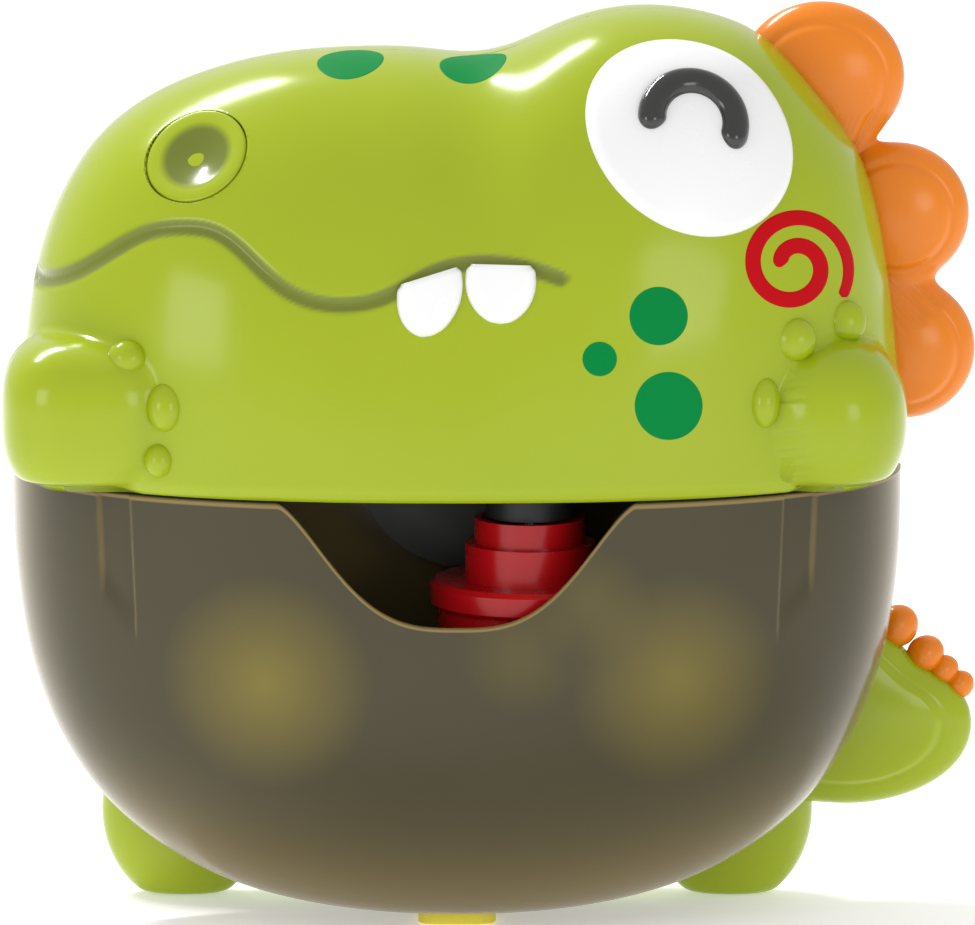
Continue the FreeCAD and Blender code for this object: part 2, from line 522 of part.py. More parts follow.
def build_drive():
    idler_x, motor_x = DRUM_X - GEAR_DISTANCE, DRUM_X - 2 * GEAR_DISTANCE
    drum = revolved(list(DRUM_SECTION))
    drum.translate(V(DRUM_X, DRUM_Y, 0))
    drum = cut_all(drum, [drum_slot(k) for k in range(DRUM_SLOTS)])
    hub = zcyl(DRUM_X, DRUM_Y, 3.2, 76.0, 87.0)
    for k in range(3):
        arm = box(2.0, 12.6, -0.9, 0.9, 77.0, 80.5)
        arm.rotate(V(0, 0, 0), V(0, 0, 1), 120 * k + 30)
        arm.translate(V(DRUM_X, DRUM_Y, 0))
        hub = hub.fuse(arm)
    add("bubble_drum", tidy(drum.fuse(hub)).cut(zcyl(DRUM_X, DRUM_Y, SHAFT_R, 70, 90)))
    add("drum_shaft", zcyl(DRUM_X, DRUM_Y, SHAFT_R, 76.5, 106.5))
    big = gear(BIG_TEETH, 100.6, 103.4, DRUM_X, DRUM_Y)
    hub_ring = zcyl(DRUM_X, DRUM_Y, 2.6, 100.6, 105.2)
    add("drum_gear", tidy(big.fuse(hub_ring)).cut(zcyl(DRUM_X, DRUM_Y, SHAFT_R, 90, 110)))
    half_tooth = math.pi / SMALL_TEETH
    small = gear(SMALL_TEETH, 100.4, 104.0, idler_x, DRUM_Y, half_tooth)
    wheel = gear(BIG_TEETH, 104.0, 106.8, idler_x, DRUM_Y)
    add("idler_gear", tidy(small.fuse(wheel)).cut(zcyl(idler_x, DRUM_Y, 1.05, 90, 110)))
    pinion = gear(SMALL_TEETH, 103.8, 107.4, motor_x, DRUM_Y, half_tooth)
    add("motor_pinion", pinion.cut(zcyl(motor_x, DRUM_Y, 1.0, 90, 120)))
    add("gear_motor_shaft", zcyl(motor_x, DRUM_Y, 1.0, 101.5, 112.0))
    add("idler_pin", zcyl(idler_x, DRUM_Y, 1.0, 98.4, 108.0))

    def slab(inset, z0, z1):
        ends = [zcyl(x, DRUM_Y, BOX_R - inset, z0, z1) for x in (DRUM_X, motor_x)]
        middle = box(motor_x, DRUM_X, DRUM_Y - BOX_R + inset, DRUM_Y + BOX_R - inset, z0, z1)
        return fused(ends + [middle])

    box_z0 = SEAM_Z + FLOOR_T
    lugs = [(x, DRUM_Y + dy) for x in (DRUM_X + 14.5, motor_x - 14.5) for dy in (-8, 8)]
    tray = fused([slab(0, box_z0, BOX_LID_Z)] + [zcyl(x, y, LUG_R, box_z0, BOX_LID_Z) for x, y in lugs])
    tray = tray.cut(slab(BOX_WALL, BOX_FLOOR_Z, BOX_LID_Z + 1))
    tray = tray.cut(zcyl(DRUM_X, DRUM_Y, 3.0, 95, 100)).cut(zcyl(idler_x, DRUM_Y, PIN_R, 98.4, 100))
    lid_top = BOX_LID_Z + LID_T
    lid = fused([slab(0, BOX_LID_Z, lid_top)] + [zcyl(x, y, LUG_R, BOX_LID_Z, lid_top) for x, y in lugs])
    lid = lid.cut(zcyl(motor_x, DRUM_Y, 3.4, 107, 110)).cut(zcyl(DRUM_X, DRUM_Y, SHAFT_R + 0.05, 107, 110))
    screws = []
    for x, y in lugs:
        tray = tray.cut(zcyl(x, y, 1.1, BOX_FLOOR_Z - 0.6, BOX_LID_Z + 1))
        lid = lid.cut(zcyl(x, y, 1.4, 107, 110))
        screws.append(along(revolved(list(SMALL_SCREW)), V(x, y, lid_top), V(0, 0, 1)))
    add("gearbox_tray", tray)
    add("gearbox_lid", lid)
    add("gearbox_screws", Part.makeCompound(screws))
    bush = zcyl(DRUM_X, DRUM_Y, 3.0, 96.4, 99.9).cut(zcyl(DRUM_X, DRUM_Y, SHAFT_R + 0.05, 90, 110))
    add("drum_bush", bush)
    flats = box(motor_x - MOTOR_R, motor_x + MOTOR_R, DRUM_Y - 6, DRUM_Y + 6, lid_top - 0.6, 130)
    can = zcyl(motor_x, DRUM_Y, MOTOR_R, lid_top, 128.0).common(flats)
    can = can.fuse(zcyl(motor_x, DRUM_Y, 3.3, 108.2, lid_top))
    add("gear_motor", can.cut(zcyl(motor_x, DRUM_Y, PIN_R + 0.06, 100, 113)))

    duct_top = SEAM_Z - 0.1
    duct = zcyl(DRUM_X, DRUM_Y, DUCT_R, DUCT_Z0, duct_top)
    duct = duct.fuse(box(DRUM_X - 7.5, DRUM_X + 7.5, DRUM_Y, BLOWER_Y0 - 0.05, DUCT_Z0, duct_top))
    duct = duct.cut(zcyl(DRUM_X, DRUM_Y, DUCT_R - DUCT_WALL, DUCT_Z0 - 1, DUCT_ROOF_Z))
    duct = duct.cut(box(DRUM_X - 6.0, DRUM_X + 6.0, DRUM_Y, BLOWER_Y0 + 1, DUCT_Z0 + 1.5, DUCT_ROOF_Z))
    duct = duct.cut(zcyl(DRUM_X, DRUM_Y, SHAFT_R + 0.3, DUCT_Z0 - 1, 98))
    add("air_duct", duct)


FAN_R, FAN_BLADES, BLADE_LEAN = 18.6, 12, 28


def build_blower():
    can = ycyl(BLOWER_X, BLOWER_Z, BLOWER_R, BLOWER_Y0, BLOWER_Y1 - 1.5)
    can = can.cut(ycyl(BLOWER_X, BLOWER_Z, BLOWER_R - 1.6, BLOWER_Y0 + 1.5, BLOWER_Y1))
    outlet = box(DRUM_X - 6.0, DRUM_X + 6.0, BLOWER_Y0 - 1, BLOWER_Y0 + 2, DUCT_Z0 + 1.5, DUCT_ROOF_Z)
    add("blower_housing", can.cut(outlet))
    cover = ycyl(BLOWER_X, BLOWER_Z, BLOWER_R, BLOWER_Y1 - 1.5, BLOWER_Y1)
    cover = cover.cut(ycyl(BLOWER_X, BLOWER_Z, 2.4, 10, 20))
    for k in range(6):
        a = math.radians(60 * k + 30)
        cover = cover.cut(ycyl(BLOWER_X + 12.5 * math.cos(a), BLOWER_Z + 12.5 * math.sin(a), 3.4, 10, 20))
    add("blower_cover", cover)
    wheel = ycyl(BLOWER_X, BLOWER_Z, FAN_R, 13.4, 14.6)
    for k in range(FAN_BLADES):
        blade = box(8.0, 18.4, -0.45, 0.45, 0, 4.0)
        blade.rotate(V(8.0, 0, 0), V(0, 0, 1), BLADE_LEAN)
        blade.rotate(V(0, 0, 0), V(0, 0, 1), 360 / FAN_BLADES * k)
        blade = along(blade, V(BLOWER_X, 13.5, BLOWER_Z), V(0, -1, 0))
        wheel = wheel.fuse(blade)
    wheel = wheel.fuse(ycyl(BLOWER_X, BLOWER_Z, 3.2, 9.5, 14.6))
    wheel = wheel.common(ycyl(BLOWER_X, BLOWER_Z, FAN_R, 0, 20))
    add("fan_wheel", tidy(wheel).cut(ycyl(BLOWER_X, BLOWER_Z, PIN_R, 0, 30)))
    add("fan_shaft", ycyl(BLOWER_X, BLOWER_Z, PIN_R, 9.9, 20.0))
    motor = ycyl(BLOWER_X, BLOWER_Z, MOTOR_R, BLOWER_Y1 + 0.05, 35.5)
    add("fan_motor", motor.cut(ycyl(BLOWER_X, BLOWER_Z, PIN_R + 0.06, 10, 21)))


# ---- power and controls -------------------------------------------------------------------------
def build_power():
    flange_y = BACK_Y - WALL
    tray = box(-30.0, 30.0, 20.0, flange_y - 0.5, 114.0, 165.0)
    tray = tray.fuse(box(-32.5, 32.5, flange_y - 2.4, flange_y, 111.0, 172.0))
    tray = tray.fuse(ycyl(0, DOOR_SCREW_Z, 3.4, 30.0, flange_y))
    tray = tray.cut(box(-28.4, 28.4, 21.6, 40, 115.8, 162.6)).cut(ycyl(0, DOOR_SCREW_Z, 1.45, 31.0, 40))
    seal = box(-29.9, 29.9, flange_y - 1.0, flange_y, 114.2, 163.8)
    seal = seal.cut(box(-28.9, 28.9, flange_y - 1.1, flange_y + 1, 115.3, 162.9))
    add("battery_box", tidy(tray.cut(seal)))
    add("door_gasket", seal)
    cells, contacts = [], []
    for k in range(3):
        z, side = CELL_Z0 + CELL_PITCH * k, (1 if k % 2 == 0 else -1)
        cell = Part.makeCylinder(CELL_R, 49.0, V(-24.9 * side, CELL_Y, z), V(side, 0, 0))
        cap = Part.makeCylinder(2.7, 1.5, V(24.0 * side, CELL_Y, z), V(side, 0, 0))
        cells.append(tidy(cell.fuse(cap)))
        contacts += [box(x - 0.3, x + 0.3, CELL_Y - 4, CELL_Y + 4, z - 4.5, z + 4.5) for x in (-28.1, 28.1)]
        coil = [(1.6, 0.0), (3.4, 0.0), (2.6, 2.8), (1.4, 2.8)]
        contacts.append(revolved(coil, V(side, 0, 0), V(-27.8 * side, CELL_Y, z)))
    add("battery_cells", Part.makeCompound(cells))
    add("battery_contacts", Part.makeCompound(contacts))
    door = box(-DOOR_HALF_W, DOOR_HALF_W, flange_y + 0.1, BACK_Y, DOOR_Z0, DOOR_Z1)
    for k in range(5):
        door = door.cut(box(-10.0, 10.0, BACK_Y - 0.6, BACK_Y + 1, 120.0 + 3 * k, 121.4 + 3 * k))
    door = door.cut(ycyl(0, DOOR_SCREW_Z, 1.45, 30, 41)).cut(ycyl(0, DOOR_SCREW_Z, 2.9, BACK_Y - 0.9, 41))
    add("battery_door", door)
    flush = box(-9, 9, 20, BACK_Y - 0.02, 150, 180)
    add("door_screw", screw(0, DOOR_SCREW_Z, BACK_Y - 0.85, 7.5, 2.7).common(flush))

    speaker = revolved([(0, 37.6), (13.8, 37.6), (13.8, 36.2), (8.0, 34.4), (8.0, 31.6), (0, 31.6)])
    speaker.Placement = Placement(V(0, 0, SPEAKER_Z), Rotation(V(1, 0, 0), -90))
    add("speaker", speaker)
    ring = ycyl(0, SPEAKER_Z, 16.4, 34.6, 37.95).cut(ycyl(0, SPEAKER_Z, 14.0, 30, 40))
    add("speaker_ring", ring)
    lenses, leds = [], []
    for side in (-1, 1):
        lenses.append(ycyl(side * LAMP_X, LAMP_Z, LENS_R, COVER_Y, COVER_Y + 2.4))
        led = ycyl(side * LAMP_X, LAMP_Z, 2.5, COVER_Y + 3.2, COVER_Y + 8.0)
        leds.append(tidy(led.fuse(ycyl(side * LAMP_X, LAMP_Z, 6.0, COVER_Y + 8.0, COVER_Y + 9.2))))
    add("lamp_lenses", Part.makeCompound(lenses))
    add("lamp_boards", Part.makeCompound(leds))

    add("main_board", box(-22, 34, BOARD_Y, BOARD_Y + 1.6, 130, 162))
    chip = box(-14, -4, BOARD_Y - 2.8, BOARD_Y, 140, 152)
    relay = box(6, 12, BOARD_Y - 4.0, BOARD_Y, 136, 142)
    socket = box(18, 30, BOARD_Y - 2.0, BOARD_Y, 148, 156)
    capacitor = ycyl(18, 138, 3.0, BOARD_Y - 8.0, BOARD_Y)
    add("board_parts", Part.makeCompound([chip, relay, socket, capacitor]))


def build_button():
    def place(shape):
        return along(shape, BUTTON_AT, BUTTON_AXIS)

    cap = revolved([(0, -7.0), (12.6, -7.0), (12.6, -5.6), (BUTTON_R, -5.6), (BUTTON_R, 0.4),
                    (BUTTON_R - 0.7, 1.1), (8.9, 1.1), (0, 1.1)])
    cap = cap.cut(Part.makeSphere(18.0, V(0, 0, 16.6)))
    cap = cap.cut(Part.makeCylinder(9.0, 5.0, V(0, 0, -8))).fuse(Part.makeCylinder(1.8, 6.1, V(0, 0, -8.6)))
    add("nose_button", place(tidy(cap)))
    carrier = revolved([(0, -14.6), (15.4, -14.6), (15.4, -7.6), (13.4, -7.6), (13.4, -13.0), (0, -13.0)])
    carrier = carrier.cut(Part.makeBox(7, 7, 4, V(-3.5, -3.5, -16)))
    add("button_carrier", place(carrier))
    turns, pitch = 5, 1.55
    spring = [Part.makeTorus(6.6, 0.35, V(0, 0, -12.6 + pitch * k)) for k in range(turns)]
    for k in range(turns - 1):
        spring.append(Part.makeCylinder(0.3, pitch, V(6.6, 0, -12.6 + pitch * k)))
    add("button_spring", place(spring[0].multiFuse(spring[1:])))
    board = Part.makeBox(22, 18, 1.4, V(-11, -9, -16.2))
    add("switch_board", place(board))
    switch = Part.makeBox(6, 6, 3.4, V(-3, -3, -14.8)).fuse(Part.makeCylinder(1.6, 0.9, V(0, 0, -11.4)))
    add("push_switch", place(tidy(switch)))


# Half section of a suction cup, (radius, height above the back): button, neck, dome and lip.
CUP_SECTION = (
    (0, -5.4), (5.6, -5.4), (5.6, -2.4), (3.9, -2.1), (3.9, 0.2), (6.0, 0.3), (7.0, 3.6), (12.0, 6.4),
    (17.0, 10.2), (18.0, 12.0), (17.1, 12.0), (14.5, 9.7), (10.0, 7.3), (5.0, 5.9), (0, 5.5),
)


def build_fixings():
    cups = []
    for x, z in CUP_PLACES:
        cups.append(revolved(list(CUP_SECTION), V(0, 1, 0), V(x, BACK_Y, z)))
    add("suction_cups", Part.makeCompound(cups))
    add("shell_screws", Part.makeCompound([screw(x, z, SPLIT_Y + SCREW_SEAT, 15.0) for x, z in SHELL_SCREWS]))
    low = [screw(x, z, HOUSING_SPLIT_Y + SCREW_SEAT, 10.0) for x, z in HOUSING_SCREWS]
    add("housing_screws", Part.makeCompound(low))


build_head()
build_tank()
build_chassis()
build_drive()
build_blower()
build_power()
build_button()
build_fixings()

os.makedirs("parts", exist_ok=True)
for old in os.listdir("parts"):
    if old.endswith(".step") and old[:-5] not in nodes:
        os.remove(os.path.join("parts", old))
for name, shape in nodes.items():
    solids = shape.Solids
    whole = solids[0] if len(solids) == 1 else Part.makeCompound(solids)
    whole.exportStep(os.path.join("parts", name + ".step"))
    state = "valid" if whole.isValid() else "NOT VALID"
    print(name, len(solids), "solids", state, round(whole.Volume), "mm3")
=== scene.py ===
"""Bath bubble machine shaped like a dinosaur's head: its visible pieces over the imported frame.

Shapes are worked out in millimetres in the frame's axes (+X towards the eye, +Y towards the flat back, +Z up,
origin in the middle of the front foot's sole) and put into the meshes in metres.
"""
import bmesh
import bpy
import math
import numpy as np
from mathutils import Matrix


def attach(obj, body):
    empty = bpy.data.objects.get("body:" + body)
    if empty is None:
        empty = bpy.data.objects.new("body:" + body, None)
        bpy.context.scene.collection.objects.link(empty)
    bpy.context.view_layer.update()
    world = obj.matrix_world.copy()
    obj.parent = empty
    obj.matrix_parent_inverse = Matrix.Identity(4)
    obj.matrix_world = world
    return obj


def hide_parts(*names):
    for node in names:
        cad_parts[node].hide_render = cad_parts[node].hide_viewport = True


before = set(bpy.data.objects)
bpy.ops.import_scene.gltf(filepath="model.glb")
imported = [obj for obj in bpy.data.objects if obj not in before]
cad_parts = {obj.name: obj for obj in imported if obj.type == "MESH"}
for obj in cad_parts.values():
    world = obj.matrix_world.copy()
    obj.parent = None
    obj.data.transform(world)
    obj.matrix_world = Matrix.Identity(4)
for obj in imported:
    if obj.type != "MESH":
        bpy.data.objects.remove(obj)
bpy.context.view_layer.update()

MM = 0.001
SEAM_Z = 96.0                 # the head meets the tank here
SPLIT_Y = 12.0                # the front and rear head shells meet here
DEPTH = 53.0                  # the head's bulge in front of that plane
POWER = 2.35                  # superellipse power of the bulge
WALL = 2.0
TANK_ROWS = 110               # rows of points on the bowl's outer skin
TANK_HALF_W = 93.2
TANK_FLOOR_Z = 3.2
TANK_BACK_Y = 20.0
TANK_LOW_Y = -6.0
MOUTH_HALF_W = 39.5
MOUTH_DEPTH = 26.7
# Glows painted on the bowl where lamps and drum would shine through: x, z, reach and strength.
GLOWS = ((-40.3, 57.0, 24.0, 0.85), (46.8, 57.0, 24.0, 0.75), (13.0, 64.0, 14.0, 0.3), (28.0, 74.5, 13.0, 0.35))
HEART = np.array((0.0, SPLIT_Y, SEAM_Z))       # the point that the head's surface is measured from
OUTLINE = np.array((
    (93.2, 90), (93.0, 96), (92.3, 118), (90.5, 135), (87.2, 153), (83.6, 162.5), (77.6, 171.5), (70, 180.5),
    (61, 187.7), (51, 191.1), (40.5, 192.3), (30, 191.2), (20, 187.8), (12, 184.2), (4, 182.4), (-8, 183.2),
    (-22, 183.4), (-36, 182.3), (-50, 179.2), (-64, 173.4), (-75, 164.8), (-83.2, 152.2), (-87.6, 140),
    (-90.6, 122), (-93, 96), (-93.2, 90)))
SMILE = np.array((
    (-96, 134.6), (-84, 138.8), (-76, 143.5), (-68.5, 148.8), (-62.4, 151.7), (-56, 152.7), (-50.6, 152.2),
    (-45.4, 149.3), (-39.3, 143.9), (-33, 139.9), (-26.7, 138.3), (-20.4, 138.4), (-13.5, 140.3),
    (-5.7, 144.3), (2.7, 146.6), (13.2, 146.3), (22, 143.8)))
SMILE_SHIFT = np.array((-0.4, -0.7))
POCKET_R = 11.45
BUTTON_AT = np.array((-54.8, -16.4, 166.1))
# The visible cap's axis; the CAD button and its joint slide along (-0.444, -0.69, 0.572), 5.4 degrees away.
BUTTON_AXIS = np.array((-0.36, -0.68, 0.64)) / np.linalg.norm((-0.36, -0.68, 0.64))
EYE_AT = np.array((49.9, -22.6, 172.1))
EYE_AXIS = np.array((0.292, -0.846, 0.446)) / np.linalg.norm((0.292, -0.846, 0.446))
FRONT = np.array((0.0, -0.985, 0.174))         # straight out of the face, a little upwards


# ---- numbers and meshes -------------------------------------------------------------------------
def smooth(low, high, value):
    """0 below low, 1 above high, and 3t squared minus 2t cubed between."""
    t = np.clip((value - low) / (high - low), 0.0, 1.0)
    return t * t * (3.0 - 2.0 * t)


def spline(knots, values, at):
    """Natural cubic spline through (knots, values), read at any points."""
    n, h = len(knots), np.diff(knots)
    a = np.eye(n)
    rhs = np.zeros((n,) + values.shape[1:])
    for i in range(1, n - 1):
        a[i, i - 1:i + 2] = h[i - 1], 2 * (h[i - 1] + h[i]), h[i]
        rhs[i] = 6 * ((values[i + 1] - values[i]) / h[i] - (values[i] - values[i - 1]) / h[i - 1])
    bend = np.linalg.solve(a, rhs)
    k = np.clip(np.searchsorted(knots, at) - 1, 0, n - 2)
    w, t = h[k], at - knots[k]
    if values.ndim > 1:
        w, t = w[..., None], t[..., None]
    step = (values[k + 1] - values[k]) / w - w * (2 * bend[k] + bend[k + 1]) / 6
    return values[k] + t * step + t ** 2 * bend[k] / 2 + t ** 3 * (bend[k + 1] - bend[k]) / (6 * w)


def crowd(start, stop, count, *thick):
    """count values from start to stop, closer together by a factor near each (middle, half width, factor)."""
    t = np.linspace(start, stop, 4001)
    rate = np.ones_like(t)
    for middle, half, factor in thick:
        rate += (factor - 1) * np.exp(-((t - middle) / half) ** 4)
    total = np.concatenate(([0], np.cumsum((rate[1:] + rate[:-1]) / 2)))
    return np.interp(np.linspace(0, total[-1], count), total, t)


def axes_of(axis, up=(0, 0, 1)):
    """(right, upward) unit vectors square to an axis that points at the viewer."""
    right = np.cross(up, axis)
    right = right / np.linalg.norm(right)
    return right, np.cross(axis, right)


def mesh_of(name, shells, material, body, replaces=(), marks=None, angle=180):
    """One piece from closed grids of points in millimetres.

    shells is a list of (points[rows, columns, 3], wrap_rows, wrap_columns). Neighbours in the grid make a quad,
    coinciding points are merged, and a shell whose signed volume is negative is turned to face outwards.
    """
    points, faces, start = [], [], 0
    for grid, wrap_rows, wrap_columns in shells:
        rows, columns = grid.shape[:2]
        index = np.arange(rows * columns).reshape(rows, columns)
        if wrap_rows:
            index = np.vstack((index, index[:1]))
        if wrap_columns:
            index = np.hstack((index, index[:, :1]))
        quads = np.stack((index[:-1, :-1], index[:-1, 1:], index[1:, 1:], index[1:, :-1]), -1).reshape(-1, 4)
        flat = grid.reshape(-1, 3)
        a, b, c, d = (flat[quads[:, i]] for i in range(4))
        volume = np.sum(a * np.cross(b, c)) + np.sum(a * np.cross(c, d))
        if volume < 0:
            quads = quads[:, ::-1]
        points.append(flat)
        faces.append(quads + start)
        start += len(flat)
    mesh = bpy.data.meshes.new(name)
    mesh.from_pydata((np.vstack(points) * MM).tolist(), [], np.vstack(faces).tolist())
    for key, value in (marks or {}).items():
        layer = mesh.attributes.new(key, "FLOAT", "POINT")
        layer.data.foreach_set("value", np.asarray(value, dtype=np.float32).ravel())
    work = bmesh.new()
    work.from_mesh(mesh)
    bmesh.ops.remove_doubles(work, verts=work.verts, dist=2e-7)
    bmesh.ops.dissolve_degenerate(work, edges=work.edges, dist=1e-8)
    work.to_mesh(mesh)
    work.free()
    mesh.shade_smooth()
    if angle < 180:
        mesh.set_sharp_from_angle(angle=math.radians(angle))
    piece = bpy.data.objects.new(name, mesh)
    bpy.context.scene.collection.objects.link(piece)
    mesh.materials.append(material)
    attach(piece, body)
    if replaces:
        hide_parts(*replaces)
    return piece


# ---- finishes -----------------------------------------------------------------------------------
class Finish:
    """A Principled material with a few nodes on Object coordinates."""

    def __init__(self, name, **sockets):
        self.material = bpy.data.materials.new(name)
        self.material.use_nodes = True
        self.tree = self.material.node_tree
        self.shader = self.tree.nodes["Principled BSDF"]
        for key, value in sockets.items():
            self.shader.inputs[key.replace("_", " ")].default_value = value
        self.coords = self.tree.nodes.new("ShaderNodeTexCoord").outputs["Object"]

    def node(self, kind, settings=None, **inputs):
        made = self.tree.nodes.new(kind)
        for key, value in (settings or {}).items():
            setattr(made, key, value)
        for key, value in inputs.items():
            socket = made.inputs[int(key[1:])] if key[1:].isdigit() else made.inputs[key.replace("_", " ")]
            if hasattr(value, "links"):
                self.tree.links.new(value, socket)
            else:
                socket.default_value = value
        return made

    def noise(self, scale, detail=3.0, rough=0.5):
        """Noise from 0 to 1; scale is in lumps per metre."""
        return self.node("ShaderNodeTexNoise", Vector=self.coords, Scale=scale, Detail=detail,
                         Roughness=rough).outputs[0]

    def ramp(self, value, low, high, to_low=0.0, to_high=1.0):
        return self.node("ShaderNodeMapRange", Value=value, From_Min=low, From_Max=high, To_Min=to_low,
                         To_Max=to_high).outputs["Result"]

    def blend(self, amount, first, second):
        """A colour between two colours or colour sockets."""
        mixed = self.node("ShaderNodeMix", {"data_type": "RGBA"}, _0=amount, _6=first, _7=second)
        return mixed.outputs[2]

    def mark(self, name):
        return self.node("ShaderNodeAttribute", {"attribute_name": name}).outputs["Fac"]

    def near(self, centre, low, high):
        """1 within low of a point and 0 beyond high, in metres."""
        apart = self.node("ShaderNodeVectorMath", {"operation": "DISTANCE"}, _0=self.coords, _1=centre)
        return self.ramp(apart.outputs["Value"], low, high, 1.0, 0.0)

    def colour(self, value):
        self.tree.links.new(value, self.shader.inputs["Base Color"])

    def roughness(self, value):
        self.tree.links.new(value, self.shader.inputs["Roughness"])

    def bump(self, height, strength, distance):
        made = self.node("ShaderNodeBump", Height=height, Strength=strength, Distance=distance)
        self.tree.links.new(made.outputs["Normal"], self.shader.inputs["Normal"])


def moulded(name, colour, roughness=0.3, coat=0.0, vary=0.05, grain=1400.0, grain_depth=0.25, **more):
    """Moulded plastic: colour drifting slightly over the part, a fine skin and patchy gloss."""
    finish = Finish(name, Roughness=roughness, Coat_Weight=coat, Coat_Roughness=0.12, **more)
    dark = tuple(c * (1 - vary) for c in colour) + (1.0,)
    light = tuple(min(1.0, c * (1 + vary)) for c in colour) + (1.0,)
    finish.colour(finish.blend(finish.noise(28.0, 2.0), dark, light))
    finish.roughness(finish.ramp(finish.noise(90.0, 4.0), 0.3, 0.7, roughness - 0.04, roughness + 0.05))
    finish.bump(finish.noise(grain, 2.0), grain_depth, 0.00005)
    return finish


def green_finish():
    """Glossy lime plastic, with painted shade making the pressed-in smile olive and a painted orange reflection of
    the crest beside it.
    """
    finish = Finish("lime_plastic", Roughness=0.19, Specular_IOR_Level=0.36, Coat_Weight=0.12, Coat_Roughness=0.09)
    base = finish.blend(finish.noise(24.0, 2.0), LIME_DARK, LIME_LIGHT)
    # Painted reflection: the orange crest's light laid on the face beside it.
    base = finish.blend(finish.mark("crest_reflection"), base, CREST_REFLECTION_ORANGE)
    # Painted shade: the pressed mark darkens the smile groove to olive.
    finish.colour(finish.blend(finish.mark("pressed"), base, SMILE_SHADE_GREEN))
    finish.roughness(finish.ramp(finish.noise(80.0, 4.0), 0.3, 0.7, 0.16, 0.22))
    finish.bump(finish.noise(1500.0, 2.0), 0.15, 0.00004)
    return finish.material


LIME_DARK, LIME_LIGHT = (0.328, 0.416, 0.005, 1.0), (0.356, 0.446, 0.008, 1.0)
# Olive of the painted shade in the smile groove.
SMILE_SHADE_GREEN = (0.165, 0.195, 0.018, 1.0)
# Orange of the painted reflection of the crest on the face.
CREST_REFLECTION_ORANGE = (0.42, 0.33, 0.012, 1.0)


def smoke_finish():
    """Dark brown smoke plastic, nearly opaque, with painted light: a sheen where the wall turns to the sides,
    floor light on its underside, a glow on the inner wall, amber highlights on the channel edges and rim, and
    painted glows.
    """
    finish = Finish("smoke_plastic", Roughness=0.24, Coat_Weight=0.12, Coat_Roughness=0.12, IOR=1.5,
                    Specular_IOR_Level=0.3, Transmission_Weight=0.08, Sheen_Weight=0.12, Sheen_Roughness=0.35,
                    Sheen_Tint=(1.0, 0.86, 0.62, 1.0))
    base = finish.blend(finish.noise(16.0, 3.0), (0.043, 0.035, 0.014, 1), (0.053, 0.044, 0.018, 1))
    # Painted light: sheen at the sides, floor light underneath and a glow on the inner wall.
    base = finish.blend(finish.mark("turned"), base, (0.20, 0.150, 0.060, 1))
    for x, z, reach, amount in GLOWS:
        glow = finish.near((x * MM, -36.0 * MM, z * MM), 0.0, reach * MM)
        glow = finish.node("ShaderNodeMath", {"operation": "SMOOTH_MAX"}, _0=glow, _1=0.0, _2=0.15).outputs[0]
        glow = finish.node("ShaderNodeMath", {"operation": "MULTIPLY"}, _0=glow, _1=amount).outputs[0]
        base = finish.blend(glow, base, (0.235, 0.185, 0.022, 1))
    # Painted amber highlights along the channel edges and the rim.
    finish.colour(finish.blend(finish.mark("edge"), base, (0.25, 0.175, 0.055, 1)))
    finish.roughness(finish.ramp(finish.noise(60.0, 3.0), 0.3, 0.7, 0.17, 0.23))
    finish.bump(finish.noise(900.0, 2.0), 0.08, 0.00004)
    return finish.material


def metal_finish(name, colour, roughness, brushed=0.0):
    """Bare metal with fine scratches stretched along Z."""
    finish = Finish(name, Metallic=1.0, Roughness=roughness)
    grown = finish.node("ShaderNodeMapping", Vector=finish.coords, Scale=(1.0, 1.0, 0.06)).outputs[0]
    lines = finish.node("ShaderNodeTexNoise", Vector=grown, Scale=3000.0, Detail=2.0).outputs[0]
    finish.colour(finish.blend(finish.noise(60.0), tuple(c * 0.85 for c in colour) + (1,), colour + (1,)))
    finish.roughness(finish.ramp(lines, 0.3, 0.7, roughness - 0.05, roughness + 0.12))
    finish.bump(lines, 0.1 + brushed, 0.00003)
    return finish.material


def vinyl_finish():
    """Clear soft vinyl of the suction cups: tinted, slightly cloudy."""
    finish = Finish("soft_vinyl", Roughness=0.12, IOR=1.45, Transmission_Weight=0.75)
    finish.colour(finish.blend(finish.noise(120.0), (0.72, 0.80, 0.79, 1), (0.84, 0.88, 0.87, 1)))
    finish.bump(finish.noise(500.0), 0.12, 0.00008)
    return finish.material


lime = green_finish()
smoke = smoke_finish()
orange = moulded("orange_plastic", (0.84, 0.225, 0.006), 0.24, 0.1, 0.05, Specular_IOR_Level=0.38).material
yellow = moulded("yellow_plastic", (0.93, 0.80, 0.07), 0.32, 0.2).material
white = moulded("white_plastic", (0.90, 0.90, 0.90), 0.25, 0.3, 0.012).material
jet = moulded("jet_plastic", (0.010, 0.010, 0.009), 0.14, 0.6, 0.1).material
red = moulded("red_plastic", (0.48, 0.005, 0.008), 0.25, 0.1, 0.08, Specular_IOR_Level=0.35).material
leaf_ink = moulded("leaf_green_ink", (0.001, 0.225, 0.048), 0.45, 0.0, 0.04, Specular_IOR_Level=0.05).material
red_ink = moulded("red_ink", (0.50, 0.004, 0.009), 0.45, 0.0, 0.04, Specular_IOR_Level=0.05).material
grey = moulded("grey_plastic", (0.03, 0.03, 0.027), 0.45, 0.0, 0.12, 900.0, 0.4).material
black = moulded("black_plastic", (0.012, 0.012, 0.012), 0.5, 0.0, 0.15, 900.0, 0.5).material
natural = moulded("natural_plastic", (0.72, 0.70, 0.62), 0.42, 0.0, 0.05).material
frosted = moulded("frosted_plastic", (0.85, 0.75, 0.45), 0.4, 0.1, 0.05).material
film = moulded("cell_film", (0.035, 0.045, 0.055), 0.2, 0.5, 0.15).material
lacquer = moulded("board_lacquer", (0.012, 0.11, 0.04), 0.3, 0.4, 0.12, 500.0, 0.5).material
